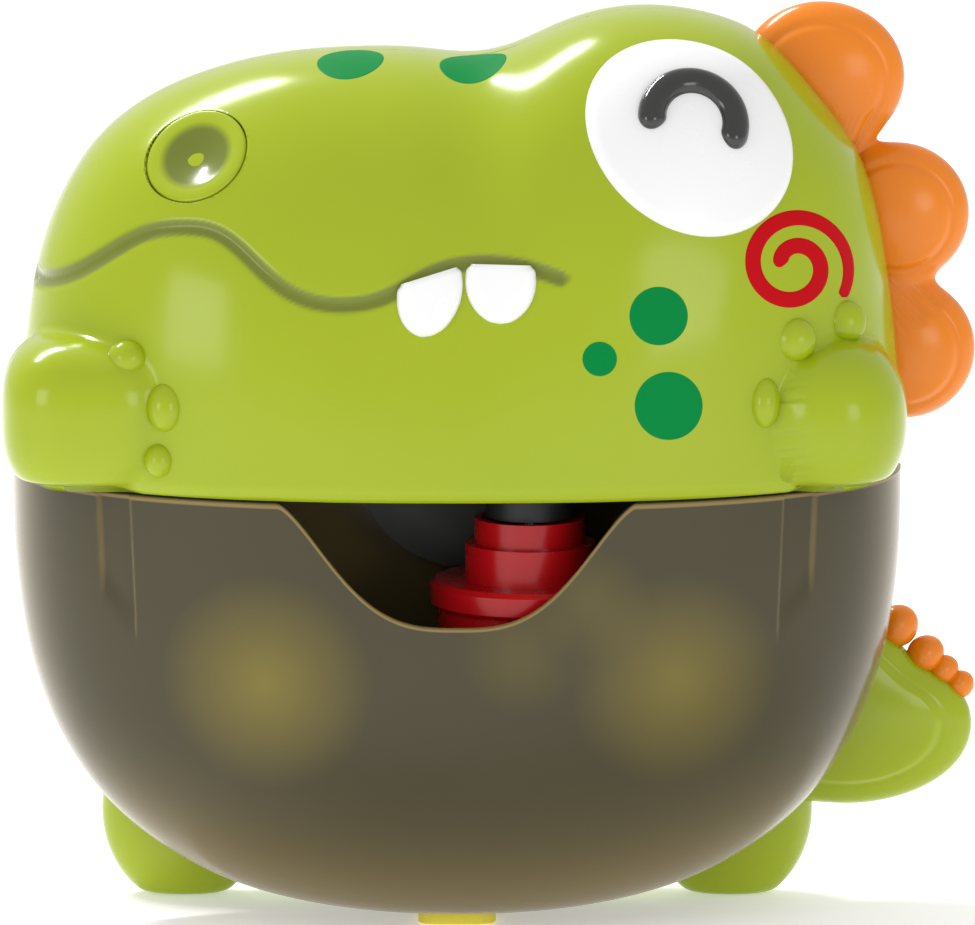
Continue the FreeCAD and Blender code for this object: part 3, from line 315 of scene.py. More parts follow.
paper = moulded("cone_paper", (0.03, 0.03, 0.03), 0.75, 0.0, 0.25, 2500.0, 0.9).material
steel = metal_finish("bright_steel", (0.62, 0.62, 0.61), 0.25)
can_steel = metal_finish("can_steel", (0.52, 0.52, 0.51), 0.32, 0.15)
vinyl = vinyl_finish()


# ---- head ---------------------------------------------------------------------------------------
turn = np.arctan2(OUTLINE[:, 1] - SEAM_Z, OUTLINE[:, 0])
turn[-1] += 2 * math.pi if turn[-1] < 0 else 0.0
outline_reach = np.hypot(OUTLINE[:, 0], OUTLINE[:, 1] - SEAM_Z)


def reach_at(angle):
    """How far the widest section's outline is from the heart, in direction angle."""
    angle = np.where(angle < -math.pi / 2, angle + 2 * math.pi, angle)
    return spline(turn, outline_reach, angle)


def head_level(p):
    """1 on the front head's surface: ((rho / outline) ** P + (depth / 53) ** P) ** (1 / P)."""
    q = p - HEART
    rho = np.hypot(q[..., 0], q[..., 2]) / reach_at(np.arctan2(q[..., 2], q[..., 0]))
    return (rho ** POWER + np.abs(q[..., 1] / DEPTH) ** POWER) ** (1 / POWER)


# Each palm: centre, radii, squareness, and how softly it grows out of the head.
PALMS = (
    ((-77, -13.5, 110.8), (18.3, 19.5, 17), 3.0, 2.0), ((78.3, -14, 109.8), (15.9, 18.5, 17.6), 2.3, 1.6),
)
# Each finger: a point on the face, then its half width and half height.
FINGERS = (
    (-68.9, -29, 124.9, 4.1, 3.7), (-60.9, -31.5, 115.0, 3.8, 5.2), (-62.2, -31, 103.6, 3.2, 3.7),
    (64.3, -29.5, 115.7, 3.2, 5.4), (70.5, -26, 128.4, 4.6, 4.6), (81.0, -18.5, 130.8, 4.7, 4.6),
)


def melt(first, second, soft):
    """Smooth minimum of two distances: they blend where they are closer than soft."""
    h = np.maximum(soft - np.abs(first - second), 0.0) / soft
    return np.minimum(first, second) - h * h * soft / 4


def lump(p, centre, radii, power=2.0):
    """Signed distance, roughly, from a superellipsoid."""
    q = p - np.array(centre)
    level = np.sum(np.abs(q / np.array(radii)) ** power, axis=-1) ** (1 / power)
    return np.linalg.norm(q, axis=-1) * (1 - 1 / np.maximum(level, 1e-6))


def face_field(p):
    """Signed distance, roughly: the head joined smoothly with the two palms."""
    field = np.linalg.norm(p - HEART, axis=-1) * (1 - 1 / np.maximum(head_level(p), 1e-6))
    for centre, radii, power, soft in PALMS:
        field = melt(field, lump(p, centre, radii, power), soft)
    return field


def outermost(heart, direction, field, near, far):
    """Outermost point of a field along each ray from the heart: 44 steps inwards, then 12 halvings."""
    hit, found = near.copy(), np.zeros(near.shape, bool)
    for k in range(44):
        t = far + (near - far) * k / 43
        inside = field(heart + direction * t[..., None]) < 0
        hit = np.where(inside & ~found, t, hit)
        found |= inside
    low, high = hit, hit + (far - near) / 43
    for _ in range(12):
        middle = (low + high) / 2
        inside = field(heart + direction * middle[..., None]) < 0
        low, high = np.where(inside, middle, low), np.where(inside, high, middle)
    return heart + direction * low[..., None]


def face_hit(direction):
    """The face along each ray from the heart."""
    base = 1 / head_level(HEART + direction)
    return outermost(HEART, direction, face_field, base - 0.5, base + 26.0)


def drop_on(points, axis, lift=0.0, field=face_field):
    """Slides points along an axis until they lie on the face, then lifts them along it."""
    low, high = np.full(points.shape[:-1], -30.0), np.full(points.shape[:-1], 30.0)
    for _ in range(34):
        middle = (low + high) / 2
        inside = field(points + axis * middle[..., None]) < 0
        low, high = np.where(inside, middle, low), np.where(inside, high, middle)
    return points + axis * (low + lift)[..., None]


def grid_normals(p):
    """Unit normals of a grid from its neighbours' differences."""
    n = np.cross(np.gradient(p, axis=0), np.gradient(p, axis=1))
    return n / np.maximum(np.linalg.norm(n, axis=-1, keepdims=True), 1e-9)


def smile_gap(p):
    """Distance in the front plane from the smile's centreline, which is SMILE moved by SMILE_SHIFT."""
    knots = np.arange(len(SMILE), dtype=float)
    line = spline(knots, SMILE, np.linspace(0, len(SMILE) - 1, 260)) + SMILE_SHIFT
    best = np.full(p.shape[:-1], 1e9)
    for x, z in line:
        best = np.minimum(best, np.hypot(p[..., 0] - x, p[..., 2] - z))
    return best


def button_radius(p):
    q = p - BUTTON_AT
    along = q @ BUTTON_AXIS
    return np.linalg.norm(q - along[..., None] * BUTTON_AXIS, axis=-1)


def front_shell():
    """The face: rays from the heart on a (tau, v) grid, x = sin tau and the rest cos tau turned by v.

    The smile is pressed in by 0.85 mm along its centreline, the nose pocket by 6 mm inside its circle, and the
    lower edge is rounded inwards. The inside is a plain offset.
    """
    columns, rows = 366, 238
    tau = crowd(-math.pi / 2, math.pi / 2, columns, (-0.57, 0.17, 2.8), (-0.85, 0.25, 1.2), (0.78, 0.16, 1.4))
    v = crowd(0.0, math.pi / 2, rows, (0.61, 0.19, 2.7), (1.03, 0.15, 1.5), (1.32, 0.16, 1.6))
    s, c = np.sin(tau)[None], np.cos(tau)[None]
    direction = np.stack((93 * s + 0 * v[:, None], -DEPTH * np.sin(v)[:, None] * c,
                          93 * np.cos(v)[:, None] * c), -1)
    direction /= np.linalg.norm(direction, axis=-1, keepdims=True)
    skin = face_hit(direction)
    out = grid_normals(skin)
    out *= np.sign(np.sum(out * direction, -1, keepdims=True))
    gap = smile_gap(skin)
    # Painted shade: how much of the olive groove shade each point of the skin gets.
    smile_shade = 0.95 * (1 - smooth(1.2, 2.0, gap))
    press = 0.85 * (1 - smooth(0.0, 2.2, gap)) * smooth(0.0, 5.0, SPLIT_Y - skin[..., 1])
    tuck = 1.3 * (1 - smooth(0.0, 3.4, skin[..., 2] - SEAM_Z)) ** 2
    # Painted reflection of the orange crest on the face's right edge near the split.
    crest_reflection = 0.8 * smooth(5, 11.5, skin[..., 1]) * smooth(50, 72, skin[..., 0]) * smooth(98, 104, skin[..., 2])
    skin = skin - out * (press + tuck)[..., None]
    r = button_radius(skin)
    q = skin - BUTTON_AT
    radial = q - (q @ BUTTON_AXIS)[..., None] * BUTTON_AXIS
    radial /= np.maximum(np.linalg.norm(radial, axis=-1, keepdims=True), 1e-6)
    close = (np.abs(r - POCKET_R) < 0.34) & (skin[..., 1] < 0)
    skin = np.where(close[..., None], skin + radial * (POCKET_R - r)[..., None], skin)
    sunk = (r < POCKET_R - 0.34) & (skin[..., 1] < 0)
    skin = skin - BUTTON_AXIS * (6.0 * sunk)[..., None]
    rim = skin[-1:] + (HEART - skin[-1:]) * 0.004
    inner_rows = np.linspace(rows - 1, 0, 18).astype(int)
    depth = np.linalg.norm(skin - HEART, axis=-1, keepdims=True)
    inner = HEART + (face_hit(direction[inner_rows]) - HEART) * (1 - (WALL + 0.3) / depth[inner_rows])
    inner[:, :1], inner[:, -1:] = skin[inner_rows, :1], skin[inner_rows, -1:]
    start_rim = skin[:1] + (HEART - skin[:1]) * 0.004
    shell = np.concatenate((start_rim, skin, rim, inner), 0)
    # This mark carries the painted smile shade.
    mark = np.zeros(shell.shape[:2])
    mark[1:rows + 1] = smile_shade
    # This mark carries the painted crest reflection.
    glow = np.zeros(shell.shape[:2])
    glow[1:rows + 1] = crest_reflection
    return mesh_of("front_shell_skin", [(shell, True, False)], lime, "head", ("front_shell",),
                   {"pressed": mark, "crest_reflection": glow})


def fingers():
    """Six fingers: small ellipsoids set into the face beside the palms."""
    right, upward = axes_of(FRONT)
    d = ball_directions(34, 48)
    shells = []
    for x, y, z, wide, tall in FINGERS:
        at = drop_on(np.array(((x, y, z),), float), FRONT, -0.8)[0]
        shells.append((at + d[..., :1] * wide * right + d[..., 2:] * tall * upward - d[..., 1:2] * 3.4 * FRONT,
                       False, True))
    return mesh_of("finger_lumps", shells, lime, "head")


def disc_patch(centre, axis, outline, profile, rings=40, around=160, field=face_field, sunk=0.8):
    """A closed pad on the face: an outline (angle to radius) with a height profile from rim to middle.

    Height is profile(t) for t from 0 at the middle to 1 at the rim; the underside is sunk below the face.
    """
    right, upward = axes_of(axis)
    inner = np.linspace(0, 0.8, rings // 2, endpoint=False)
    t = np.concatenate((inner, 1 - np.linspace(0.2 ** 0.5, 0, rings) ** 2))
    a = np.linspace(0, 2 * math.pi, around, endpoint=False)
    radius = outline(a)[None] * t[:, None]
    flat = centre + radius[..., None] * (np.cos(a)[None, :, None] * right + np.sin(a)[None, :, None] * upward)
    on = drop_on(flat, axis, 0.0, field)
    top = on + axis * profile(t)[:, None, None]
    under = on[::-4] - axis * sunk
    return np.concatenate((top, under), 0)


def printed(name, centre, axis, outline, material, around=96):
    """A print on the face: a pad 0.06 mm proud with a soft edge."""
    grid = disc_patch(np.array(centre), axis, outline, lambda t: 0.06 * (1 - smooth(0.97, 1.0, t)) + 0.005,
                      24, around, face_field, 0.3)
    return mesh_of(name, [(grid, False, True)], material, "head")


def eye():
    """White disc standing 1.5 mm proud: an ellipse of radii 23.3 and 21.4 mm with a quarter-round edge."""
    tilt = math.radians(128)

    def outline(a):
        return 1 / np.sqrt((np.cos(a - tilt) / 23.3) ** 2 + (np.sin(a - tilt) / 21.4) ** 2)

    def profile(t):
        edge = np.clip((t - 0.90) / 0.10, 0, 1)
        return 1.5 * np.sqrt(np.maximum(1 - edge ** 2, 0.0)) + 0.35 * (1 - t ** 2)

    grid = disc_patch(EYE_AT, EYE_AXIS, outline, profile, 44, 240)
    return mesh_of("eye_disc", [(grid, False, True)], white, "head", ("eye_white",))


def tube_along(path, out, half_width, height, around=28):
    """A rounded bar along a path: half_width to each side and height along out, tapering to round ends."""
    run = np.gradient(path, axis=0)
    run /= np.linalg.norm(run, axis=-1, keepdims=True)
    side = np.cross(run, out)
    side /= np.linalg.norm(side, axis=-1, keepdims=True)
    a = np.linspace(0, 2 * math.pi, around, endpoint=False)
    return (path[:, None] + side[:, None] * (half_width[:, None] * np.cos(a))[..., None]
            + out[:, None] * (height[:, None] * np.sin(a))[..., None])


def round_ends(count, length, radius):
    """(place along the bar, share of full size) with half-round ends."""
    t = (1 - np.cos(np.linspace(0, math.pi, count))) / 2 * (length + 2 * radius) - radius
    over = np.maximum(np.maximum(-t, t - length), 0.0) / radius
    return t, np.sqrt(np.maximum(1 - over ** 2, 0.0))


def eyelid():
    """Closed eyelid: a glossy bar bent over an 8.9 mm arc of 192 degrees, 6.1 mm wide and 3.9 mm high."""
    right, upward = axes_of(EYE_AXIS)
    radius, half = 8.9, 3.05
    start, sweep = math.radians(-24), math.radians(192)
    t, share = round_ends(120, radius * sweep, half)
    a = start + t / radius
    flat = (EYE_AT + right * (-0.3 + radius * np.cos(a))[:, None] + upward * (1.9 + radius * np.sin(a))[:, None])
    on = drop_on(flat, EYE_AXIS, 1.5)
    out = np.tile(EYE_AXIS, (len(on), 1))
    grid = tube_along(on, out, half * share, 2.6 * share)
    return mesh_of("eyelid_bar", [(grid, False, True)], jet, "head", ("closed_eyelid",))


def tooth(name, node, top_left, top_right, tip):
    """A rounded prong hanging from the smile: straight top edge, sides bowed down to a round tip."""
    top_left, top_right, tip = (np.array(p, float) for p in (top_left, top_right, tip))
    middle = (top_left + top_right) / 2
    half = np.linalg.norm(top_right - top_left) / 2
    right = (top_right - top_left) / (2 * half)
    down = tip - middle
    u, w = np.meshgrid(np.linspace(-1, 1, 61), 1 - np.cos(np.linspace(0, math.pi / 2, 50)))
    w = w / w.max()
    wide = (1 - w ** 2.6) ** (1 / 2.1) * (1 + 0.08 * np.sin(math.pi * w)) * (1 - 0.12 * np.exp(-(w / 0.06) ** 2))
    x = middle[0] + right[0] * u * half * wide + down[0] * w
    z = middle[1] + right[1] * u * half * wide + down[1] * w
    flat = np.stack((x, np.full_like(x, -40.0), z), -1)
    on = drop_on(flat, FRONT)
    height = 2.3 * (1 - np.abs(u) ** 4) ** 0.5 * (1 - smooth(0.8, 1.0, w) ** 2) ** 0.5 * smooth(-0.12, 0.10, w)
    top = on + FRONT * height[..., None]
    bottom = on - FRONT * 0.8
    rim = np.concatenate((top, bottom[:, ::-1]), 1)
    share = np.linspace(0, 1, 9)[:, None, None]
    cap = share * rim[:1] + (1 - share) * rim[:1].mean(1, keepdims=True)
    return mesh_of(name, [(np.concatenate((cap[:-1], rim), 0), False, True)], white, "head",
                   (node,))


def spiral():
    """Printed spiral: the radius grows by 5.9 mm a turn from 2.5 to 12 mm, and the band thins at its outer end."""
    centre = np.array((70.4, -17, 142.4))
    right, upward = axes_of(FRONT)
    t = np.linspace(0, 1, 300)
    angle = math.radians(185) - t * math.radians(578)
    radius = 4.1 + 5.9 * (math.pi / 2 - angle) / (2 * math.pi)
    steps = np.hypot(np.diff(radius * np.cos(angle)), np.diff(radius * np.sin(angle)))
    along = np.concatenate(([0], np.cumsum(steps)))
    body = 1.65 - 0.5 * smooth(0.75, 1.0, t)
    end = np.minimum(np.minimum(along, along[-1] - along) / body, 1.0)
    width = body * np.sqrt(1 - (1 - end) ** 2)
    line = np.stack((radius * np.cos(angle), radius * np.sin(angle)), -1)
    run = np.gradient(line, axis=0)
    run /= np.linalg.norm(run, axis=-1, keepdims=True)
    side = np.stack((-run[:, 1], run[:, 0]), -1)
    across = np.linspace(-1, 1, 9)
    flat2 = line[:, None] + side[:, None] * (width[:, None] * across)[..., None]
    flat = centre + flat2[..., :1] * right + flat2[..., 1:] * upward
    on = drop_on(flat, FRONT)
    lift = np.where(np.abs(across) > 0.99, 0.0, 0.07)
    grid = np.concatenate((on + FRONT * lift[None, :, None], (on - FRONT * 0.3)[:, ::-1]), 1)
    return mesh_of("cheek_spiral", [(grid, False, True)], red_ink, "head")


def head_out(p):
    """Unit direction out of the head's surface, from the level's slope."""
    step = 0.05
    slope = [head_level(p + np.eye(3)[i] * step) - head_level(p - np.eye(3)[i] * step) for i in range(3)]
    slope = np.array(slope)
    return slope / np.linalg.norm(slope)


def spots():
    """Leaf-green round prints: three on the cheek, two over the snout's top."""
    for k, (x, y, z, r) in enumerate(((42.1, -34, 134.7, 6.1), (29.8, -38, 126.3, 3.6), (44.2, -36, 116.0, 7.1))):
        printed("cheek_spot_%d" % (k + 1), (x, y, z), FRONT, lambda a, r=r: np.full(a.shape, r), leaf_ink)
    for k, x in enumerate((-22.3, 3.4)):
        start = np.array((x, 2.4, 150.0))
        at = drop_on(start[None] + np.array((0.0, 0.0, 30.0)), np.array((0.0, 0.0, 1.0)))[0]
        printed("snout_spot_%d" % (k + 1), at, head_out(at),
                lambda a: 1 / np.hypot(np.cos(a) / 6.9, np.sin(a) / 9.2), leaf_ink)


# ---- nose button --------------------------------------------------------------------------------
def turned(profile, at, axis, around=96):
    """A profile of (radius, height) carried round an axis."""
    right, upward = axes_of(axis)
    profile = np.array(profile)
    a = np.linspace(0, 2 * math.pi, around, endpoint=False)
    ring = np.cos(a)[:, None] * right + np.sin(a)[:, None] * upward
    return at + profile[:, None, :1] * ring[None] + profile[:, None, 1:] * axis


def nose_button():
    """Round cap: a shallow dish, a ring with a round brow, a wall and a flange inside the head."""
    at = drop_on(BUTTON_AT[None], BUTTON_AXIS)[0] - BUTTON_AXIS * 0.9
    dish = [(q, -1.4 * (1 - (q / DISH_R) ** 2) ** 1.5) for q in np.linspace(0.0, DISH_R, 26)]
    brow = [(8.8, 0.06), (9.4, 0.1), (10.0, 0.06)]
    edge = [(10.5 + 0.6 * math.sin(k), -0.54 + 0.6 * math.cos(k)) for k in np.linspace(0.25, math.pi / 2, 8)]
    rest = [(11.1, -5.6), (12.6, -5.7), (12.6, -7.0), (9.0, -7.0), (9.0, -4.5), (0.0, -4.5)]
    grid = turned(dish + brow + edge + rest, at, BUTTON_AXIS, 140)
    return mesh_of("nose_cap", [(grid, False, True)], nose_finish(at), "button", ("nose_button",),
                   angle=60)


DISH_R = 8.2


def nose_finish(at):
    """The same lime plastic, with painted shade making the dish a deeper olive."""
    finish = Finish("lime_nose_plastic", Roughness=0.26, Specular_IOR_Level=0.36, Coat_Weight=0.15,
                    Coat_Roughness=0.06)
    # Painted shade darkening the dish.
    dish = finish.near(tuple(at * MM), 0.0066, 0.0084)
    base = finish.blend(finish.noise(24.0, 2.0), LIME_DARK, LIME_LIGHT)
    finish.colour(finish.blend(dish, base, (0.15, 0.185, 0.018, 1)))
    finish.roughness(finish.ramp(finish.noise(80.0, 4.0), 0.3, 0.7, 0.18, 0.25))
    finish.bump(finish.noise(1500.0, 2.0), 0.15, 0.00004)
    return finish.material


# ---- crest, tail and feet -----------------------------------------------------------------------
def ball_directions(rows, columns):
    """Unit vectors on a grid from the -Y pole to the +Y pole."""
    a = np.linspace(0, math.pi, rows)[:, None]
    b = np.linspace(0, 2 * math.pi, columns, endpoint=False)[None]
    return np.stack((np.sin(a) * np.cos(b), -np.cos(a) + 0 * b, np.sin(a) * np.sin(b)), -1)


CREST_HEART = np.array((76.0, 21.0, 148.0))
CREST_LOBES = (((76.5, 176.3), 17.4, 15.9), ((92.3, 147.3), 15.2, 14.9), ((94.0, 118.5), 14.8, 14.9))


def crest_field(p):
    """Three lobes, each an ellipsoid 16.4 mm thick, melted together over 5 mm."""
    lobes = [lump(p, (x, CREST_HEART[1], z), (rx, 8.2, rz)) for (x, z), rx, rz in CREST_LOBES]
    return melt(melt(lobes[0], lobes[1], 5.0), lobes[2], 5.0)


def crest():
    """The crest as one surface from its heart, with a raised petal and a crease on each lobe."""
    a = crowd(0.0, math.pi, 230, (math.pi / 2, 0.55, 5.0))[:, None]
    b = crowd(-math.pi, math.pi, 321, (0.0, 1.7, 4.0))[:-1][None]
    d = np.stack((np.sin(a) * np.cos(b), -np.cos(a) + 0 * b, np.sin(a) * np.sin(b)), -1)
    near = np.full(d.shape[:2], 2.0)
    p = outermost(CREST_HEART, d, crest_field, near, near + 58.0)
    q = np.min([np.hypot((p[..., 0] - x) / rx, (p[..., 2] - z) / rz) for (x, z), rx, rz in CREST_LOBES], axis=0)
    relief = 0.4 * (1 - smooth(0.66, 0.80, q)) - 0.45 * np.exp(-((q - 0.76) / 0.045) ** 2)
    relief *= np.linalg.norm(p - CREST_HEART, axis=-1) > 6.0
    p[..., 1] += np.clip((p[..., 1] - CREST_HEART[1]) / 2, -1, 1) * relief
    p[0], p[-1] = p[0].mean(0), p[-1].mean(0)
    return mesh_of("crest_petals", [(p, False, True)], orange, "head", ("crest",))


def tail():
    """The tail: its outline shrinks about its middle as it bulges to each side, with a raised inner contour."""
    outline = np.array(((56, 60), (66, 63), (78, 62), (90.5, 56.2), (96, 51), (102.3, 46.5), (107, 42),
                        (108.4, 37.4), (107.6, 32.5), (105.8, 29.2), (98.4, 23.3), (90.3, 20.5), (82.3, 19.6),
                        (76, 19.9), (66, 21), (58, 24), (56, 40), (56, 60)), float)
    along = np.concatenate(([0], np.cumsum(np.linalg.norm(np.diff(outline, axis=0), axis=1))))
    ring = spline(along, outline, np.linspace(0, along[-1], 220, endpoint=False))
    a = np.linspace(-math.pi / 2, math.pi / 2, 110)
    share = np.cos(a) ** 0.8
    step = 0.8 * (1 - smooth(0.70, 0.78, share)) - 0.25 * np.exp(-((share - 0.746) / 0.03) ** 2)
    middle = np.array((82.0, 40.0))
    flat = middle + (ring - middle)[None] * share[:, None, None]
    bulge = 30.0 + np.sign(a) * (8.0 * np.abs(np.sin(a)) ** 0.8 + step * np.minimum(np.abs(a) * 4, 1))
    grid = np.stack((flat[..., 0], bulge[:, None] + 0 * flat[..., 0], flat[..., 1]), -1)
    return mesh_of("tail_skin", [(grid, False, True)], lime, "head", ("tail",))


def tail_spikes():
    """Small orange lumps along the tail's upper edge, each a little peaked."""
    d = ball_directions(40, 60)
    shells = []
    for x, z, r in ((92.6, 57.4, 4.4), (98.6, 51.4, 3.9), (102.5, 48.0, 3.1), (105.9, 44.9, 2.9)):
        peak = 1 + 0.1 * np.maximum(d[..., 0] * 0.7 + d[..., 2] * 0.7, 0) ** 3
        shells.append((np.array((x, 30.0, z)) + d * np.array((r, r * 0.95, r)) * peak[..., None], False, True))
    return mesh_of("tail_lumps", shells, orange, "head", ("tail_spikes",))


def feet():
    """Round feet: ellipsoids flattened at the floor with a soft turn into the sole."""
    d = ball_directions(90, 140)
    for side, name, node in ((-1, "left_foot_skin", "left_foot"), (1, "right_foot_skin", "right_foot")):
        p = np.array((side * 57.5, 31.6, 18.5)) + d * np.array((17.4, 10.2, 21.0))
        low = p[..., 2]
        p[..., 2] = np.where(low < 1.5, 1.5 * np.exp(np.minimum(low - 1.5, 0) / 1.5), low)
        p[..., 2] = np.where(low < -1.2, 0.0, p[..., 2])
        mesh_of(name, [(p, False, True)], lime, "head", (node,))


# ---- tank ---------------------------------------------------------------------------------------
def tank_point(t, share, inset):
    """Tank surface: t goes round the plan, share from 0 at the seam to 1 at the lowest point.

    The half width is W (1 - share ** 2.65) ** (1 / 2.85); the front and back close in the same way, the plan
    is a superellipse of power 2.2 in front and 3 behind.
    """
    height = SEAM_Z - TANK_FLOOR_Z - inset
    s = np.clip(share, 0.0, 1.0)
    width = (TANK_HALF_W - inset) * (1 - s ** 2.65) ** (1 / 2.85)
    front = TANK_LOW_Y - (TANK_LOW_Y - (SPLIT_Y - DEPTH) - inset) * (1 - s ** 2.6) ** (1 / 2.6)
    back = TANK_LOW_Y + (TANK_BACK_Y - TANK_LOW_Y - inset) * (1 - s ** 5) ** 0.2
    middle = TANK_LOW_Y + (SPLIT_Y - TANK_LOW_Y - inset / 2) * (1 - s ** 4) ** 0.25
    c, w = np.cos(t), np.sin(t)
    power = np.where(w < 0, 2.2, 3.0)
    x = width * np.sign(c) * np.abs(c) ** (2 / power)
    reach = np.where(w < 0, middle - front, back - middle)
    y = middle + reach * np.sign(w) * np.abs(w) ** (2 / power)
    return np.stack((x, y, SEAM_Z - share * height + 0 * x), -1)


def rim_height(x, y):
    """Top edge: 0.8 mm under the seam, dipping at the bell-shaped mouth in front and the motor's notch behind."""
    top = np.full(x.shape, SEAM_Z - 0.8)
    bell = SEAM_Z - MOUTH_DEPTH * np.maximum(1 - np.abs(x / MOUTH_HALF_W) ** 3, 0.0) ** 2
    notch = 97.0 - np.sqrt(np.maximum(81.0 - (x - 2.0) ** 2, 0.0))
    mouth = (y < 0) & (np.abs(x) < MOUTH_HALF_W)
    top = np.where(mouth, np.minimum(top, bell), top)
    return np.where((y > 0) & (np.abs(x - 2.0) < 9.0), np.minimum(top, notch), top)


def tank_skin(t, rows, inset):
    """Rows of points from the rim down to the lowest point, each column starting at its own rim height."""
    height = SEAM_Z - TANK_FLOOR_Z - inset
    start = np.zeros_like(t)
    for _ in range(8):
        at = tank_point(t, start, inset)
        start = (SEAM_Z - rim_height(at[..., 0], at[..., 1])) / height
    below = np.sin(np.linspace(0.03, math.pi / 2, rows - 4))
    down = np.concatenate(((0.0, 0.003, 0.007, 0.010), below))[:, None]
    return tank_point(t[None] + 0 * down, start[None] + (1 - start[None]) * down, inset)


def channel(p):
    """Depth of the two pairs of guide channels beside the mouth, and a painted highlight along their edges."""
    z = p[..., 2]
    x = np.abs(p[..., 0]) + 0.045 * (SEAM_Z - z)
    end = 63.0 + (x - 68.6) * 1.3
    level = smooth(0.0, 9.0, z - end) * (p[..., 1] < 0)
    inside = smooth(68.3, 68.9, x) * (1 - smooth(74.9, 75.5, x))
    line = np.exp(-((x - 68.6) / 0.35) ** 2) + np.exp(-((x - 75.2) / 0.35) ** 2)
    return inside * level, line * level


def tank():
    """The smoke-coloured bowl: outer skin with the guide channels, rim, inner skin 2 mm inside."""
    half = math.pi / 2
    t = crowd(-math.pi, math.pi, 620, (-half, 0.75, 1.6), (-half + 0.84, 0.1, 3.0), (-half - 0.84, 0.1, 3.0))[:-1]
    outer, inner = tank_skin(t, TANK_ROWS, 0.0), tank_skin(t, 60, WALL)
    out = grid_normals(outer)
    out *= np.sign(np.sum(out * (outer - np.array((0, 0, 60.0))), -1, keepdims=True))
    depth, line = channel(outer)
    # Painted light: a sheen where the wall turns to the sides, floor light where it turns downwards.
    side_sheen, floor_light = smooth(0.3, 1.0, 1 - np.abs(out[..., 1])), smooth(0.2, 0.85, -out[..., 2])
    sheen_and_floor_light = np.maximum(side_sheen, floor_light)
    outer = outer - out * (0.9 * depth)[..., None]
    crown = (outer[:1] + inner[:1]) / 2 + np.array((0, 0, 0.25))
    grid = np.concatenate((outer[::-1], crown, inner), 0)
    edge, side = np.zeros(grid.shape[:2]), np.zeros(grid.shape[:2])
    # Painted highlights along the channel edges.
    edge[:TANK_ROWS] = np.clip(line[::-1], 0, 1) * 0.55
    # Painted sheen and floor light on the outer skin.
    side[:TANK_ROWS] = sheen_and_floor_light[::-1]
    # Painted glow over the inner wall.
    side[TANK_ROWS + 2:] = 1.0
    # Painted amber highlight along the rim.
    edge[TANK_ROWS - 3:TANK_ROWS + 3] = 1.0
    grid[0] = grid[0].mean(0)
    grid[-1] = grid[-1].mean(0)
    return mesh_of("smoke_tank", [(grid, False, True)], smoke, "tank", ("tank",),
                   {"edge": edge, "turned": side})


def front_foot():
    """Yellow pad under the tank: a soft-cornered block 16.4 by 12 mm."""
    a = np.linspace(0, 2 * math.pi, 96, endpoint=False)
    c, w = np.cos(a), np.sin(a)
    ring = np.stack((np.sign(c) * np.abs(c) ** 0.35, np.sign(w) * np.abs(w) ** 0.35), -1)
    levels = [(0.0, 0.0), (0.86, 0.0), (0.95, 0.12), (1.0, 0.5), (1.0, 5.4), (0.0, 5.4)]
    grid = np.stack([np.stack((ring[:, 0] * 8.2 * s, ring[:, 1] * 6.0 * s, np.full(96, z)), -1)
                     for s, z in levels])
    return mesh_of("front_pad", [(grid, False, True)], yellow, "tank", ("front_foot",),
                   angle=40)


# ---- pieces kept from the frame -----------------------------------------------------------------
KEPT = {
    lime: ("rear_shell", "lower_housing_cover", "battery_door"),
    red: ("bubble_drum",),
    grey: ("blower_housing", "blower_cover", "chassis_floor", "button_carrier", "speaker_ring"),
    natural: ("drum_gear", "idler_gear", "motor_pinion", "gearbox_tray", "gearbox_lid", "fan_wheel",
              "battery_box"),
    black: ("drum_bush", "push_switch", "board_parts", "door_gasket", "air_duct"),
    frosted: ("lamp_lenses", "lamp_boards"),
    vinyl: ("suction_cups",),
    steel: ("drum_shaft", "gear_motor_shaft", "idler_pin", "fan_shaft", "gearbox_screws", "shell_screws",
            "housing_screws", "door_screw", "button_spring", "battery_contacts"),
    can_steel: ("gear_motor", "fan_motor"),
    film: ("battery_cells",),
    lacquer: ("main_board", "switch_board"),
    paper: ("speaker",),
}


def finish_kept():
    for material, names in KEPT.items():
        for name in names:
            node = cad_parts[name]
            if not node.material_slots:
                node.data.materials.append(material)
            for place in node.material_slots:
                place.material = material


# ---- stage --------------------------------------------------------------------------------------
def lamp(name, at, aim, size, power):
    """Rectangular soft light at a point, turned to shine at aim."""
    data = bpy.data.lights.new(name, "AREA")
    data.shape = "RECTANGLE"
    data.size, data.size_y = size
    data.energy = power
    light = bpy.data.objects.new(name, data)
    bpy.context.scene.collection.objects.link(light)
    light.location = at
    run = np.array(aim) - np.array(at)
    flat = math.hypot(run[0], run[1])
    light.rotation_euler = (math.atan2(flat, -run[2]), 0, math.atan2(run[1], run[0]) - math.pi / 2)
    light.visible_camera = False


CAMERA_AWAY = 8.0             # metres: nearly no perspective
FRAME_WIDTH = 0.20475         # metres of the head's split plane across the frame


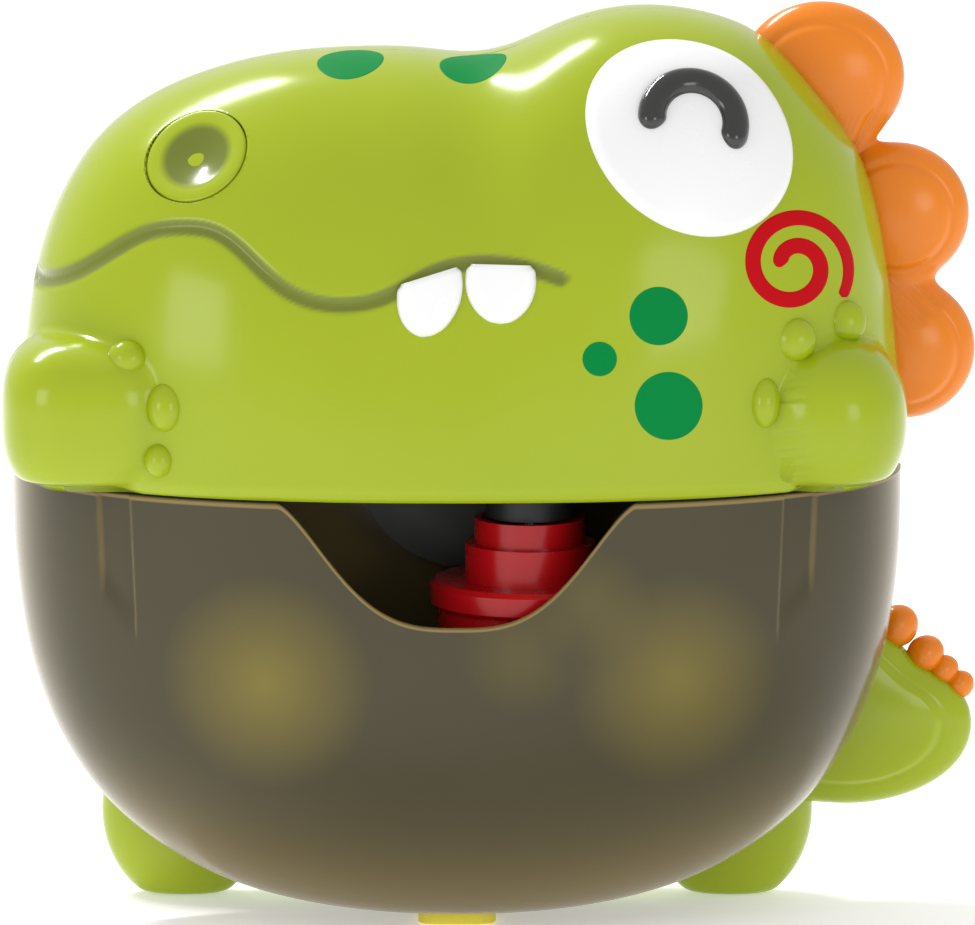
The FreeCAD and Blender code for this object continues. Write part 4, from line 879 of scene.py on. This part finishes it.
def stage():
    """White studio: glowing pale floor, white world, three area lamps, and the camera 10 degrees above level."""
    floor = bpy.data.meshes.new("floor")
    floor.from_pydata([(-6, -6, 0), (6, -6, 0), (6, 6, 0), (-6, 6, 0)], [], [(0, 1, 2, 3)])
    piece = bpy.data.objects.new("floor", floor)
    bpy.context.scene.collection.objects.link(piece)
    pale = Finish("pale_floor", Roughness=0.7, Emission_Color=(1, 1, 1, 1), Emission_Strength=0.35)
    pale.colour(pale.blend(pale.noise(3.0), (0.90, 0.90, 0.90, 1), (0.92, 0.92, 0.92, 1)))
    floor.materials.append(pale.material)

    world = bpy.data.worlds.new("studio")
    bpy.context.scene.world = world
    world.use_nodes = True
    world.node_tree.nodes["Background"].inputs["Color"].default_value = (1, 1, 1, 1)
    world.node_tree.nodes["Background"].inputs["Strength"].default_value = 0.77
    lamp("snout_strip", (-0.38, 0.42, 0.85), (-0.03, 0, 0.15), (0.5, 0.07), 7.0)
    lamp("left_box", (-0.75, -0.85, 0.30), (0, 0, 0.1), (0.35, 0.35), 1.2)
    lamp("right_box", (0.6, -1.0, 0.28), (0, 0, 0.1), (0.35, 0.35), 1.0)
    bpy.context.scene.view_settings.view_transform = "Standard"

    camera = bpy.data.cameras.new("camera")
    camera.sensor_width = 36.0
    camera.lens = camera.sensor_width * CAMERA_AWAY / FRAME_WIDTH
    camera.clip_end = 40
    eye_point = bpy.data.objects.new("camera", camera)
    bpy.context.scene.collection.objects.link(eye_point)
    tilt = math.radians(10)
    target = np.array((0.0064, SPLIT_Y * MM, 0.09556))
    eye_point.location = target + CAMERA_AWAY * np.array((0, -math.cos(tilt), math.sin(tilt)))
    eye_point.rotation_euler = (math.pi / 2 - tilt, 0, 0)
    bpy.context.scene.camera = eye_point


front_shell()
fingers()
eye()
eyelid()
tooth("left_tooth_prong", "left_tooth", (-12.4, 142.2), (0.8, 146.4), (-5.2, 131.5))
tooth("right_tooth_prong", "right_tooth", (2.1, 146.8), (16.3, 146.4), (9.0, 134.0))
spots()
spiral()
nose_button()
crest()
tail()
tail_spikes()
feet()
tank()
front_foot()
finish_kept()
stage()
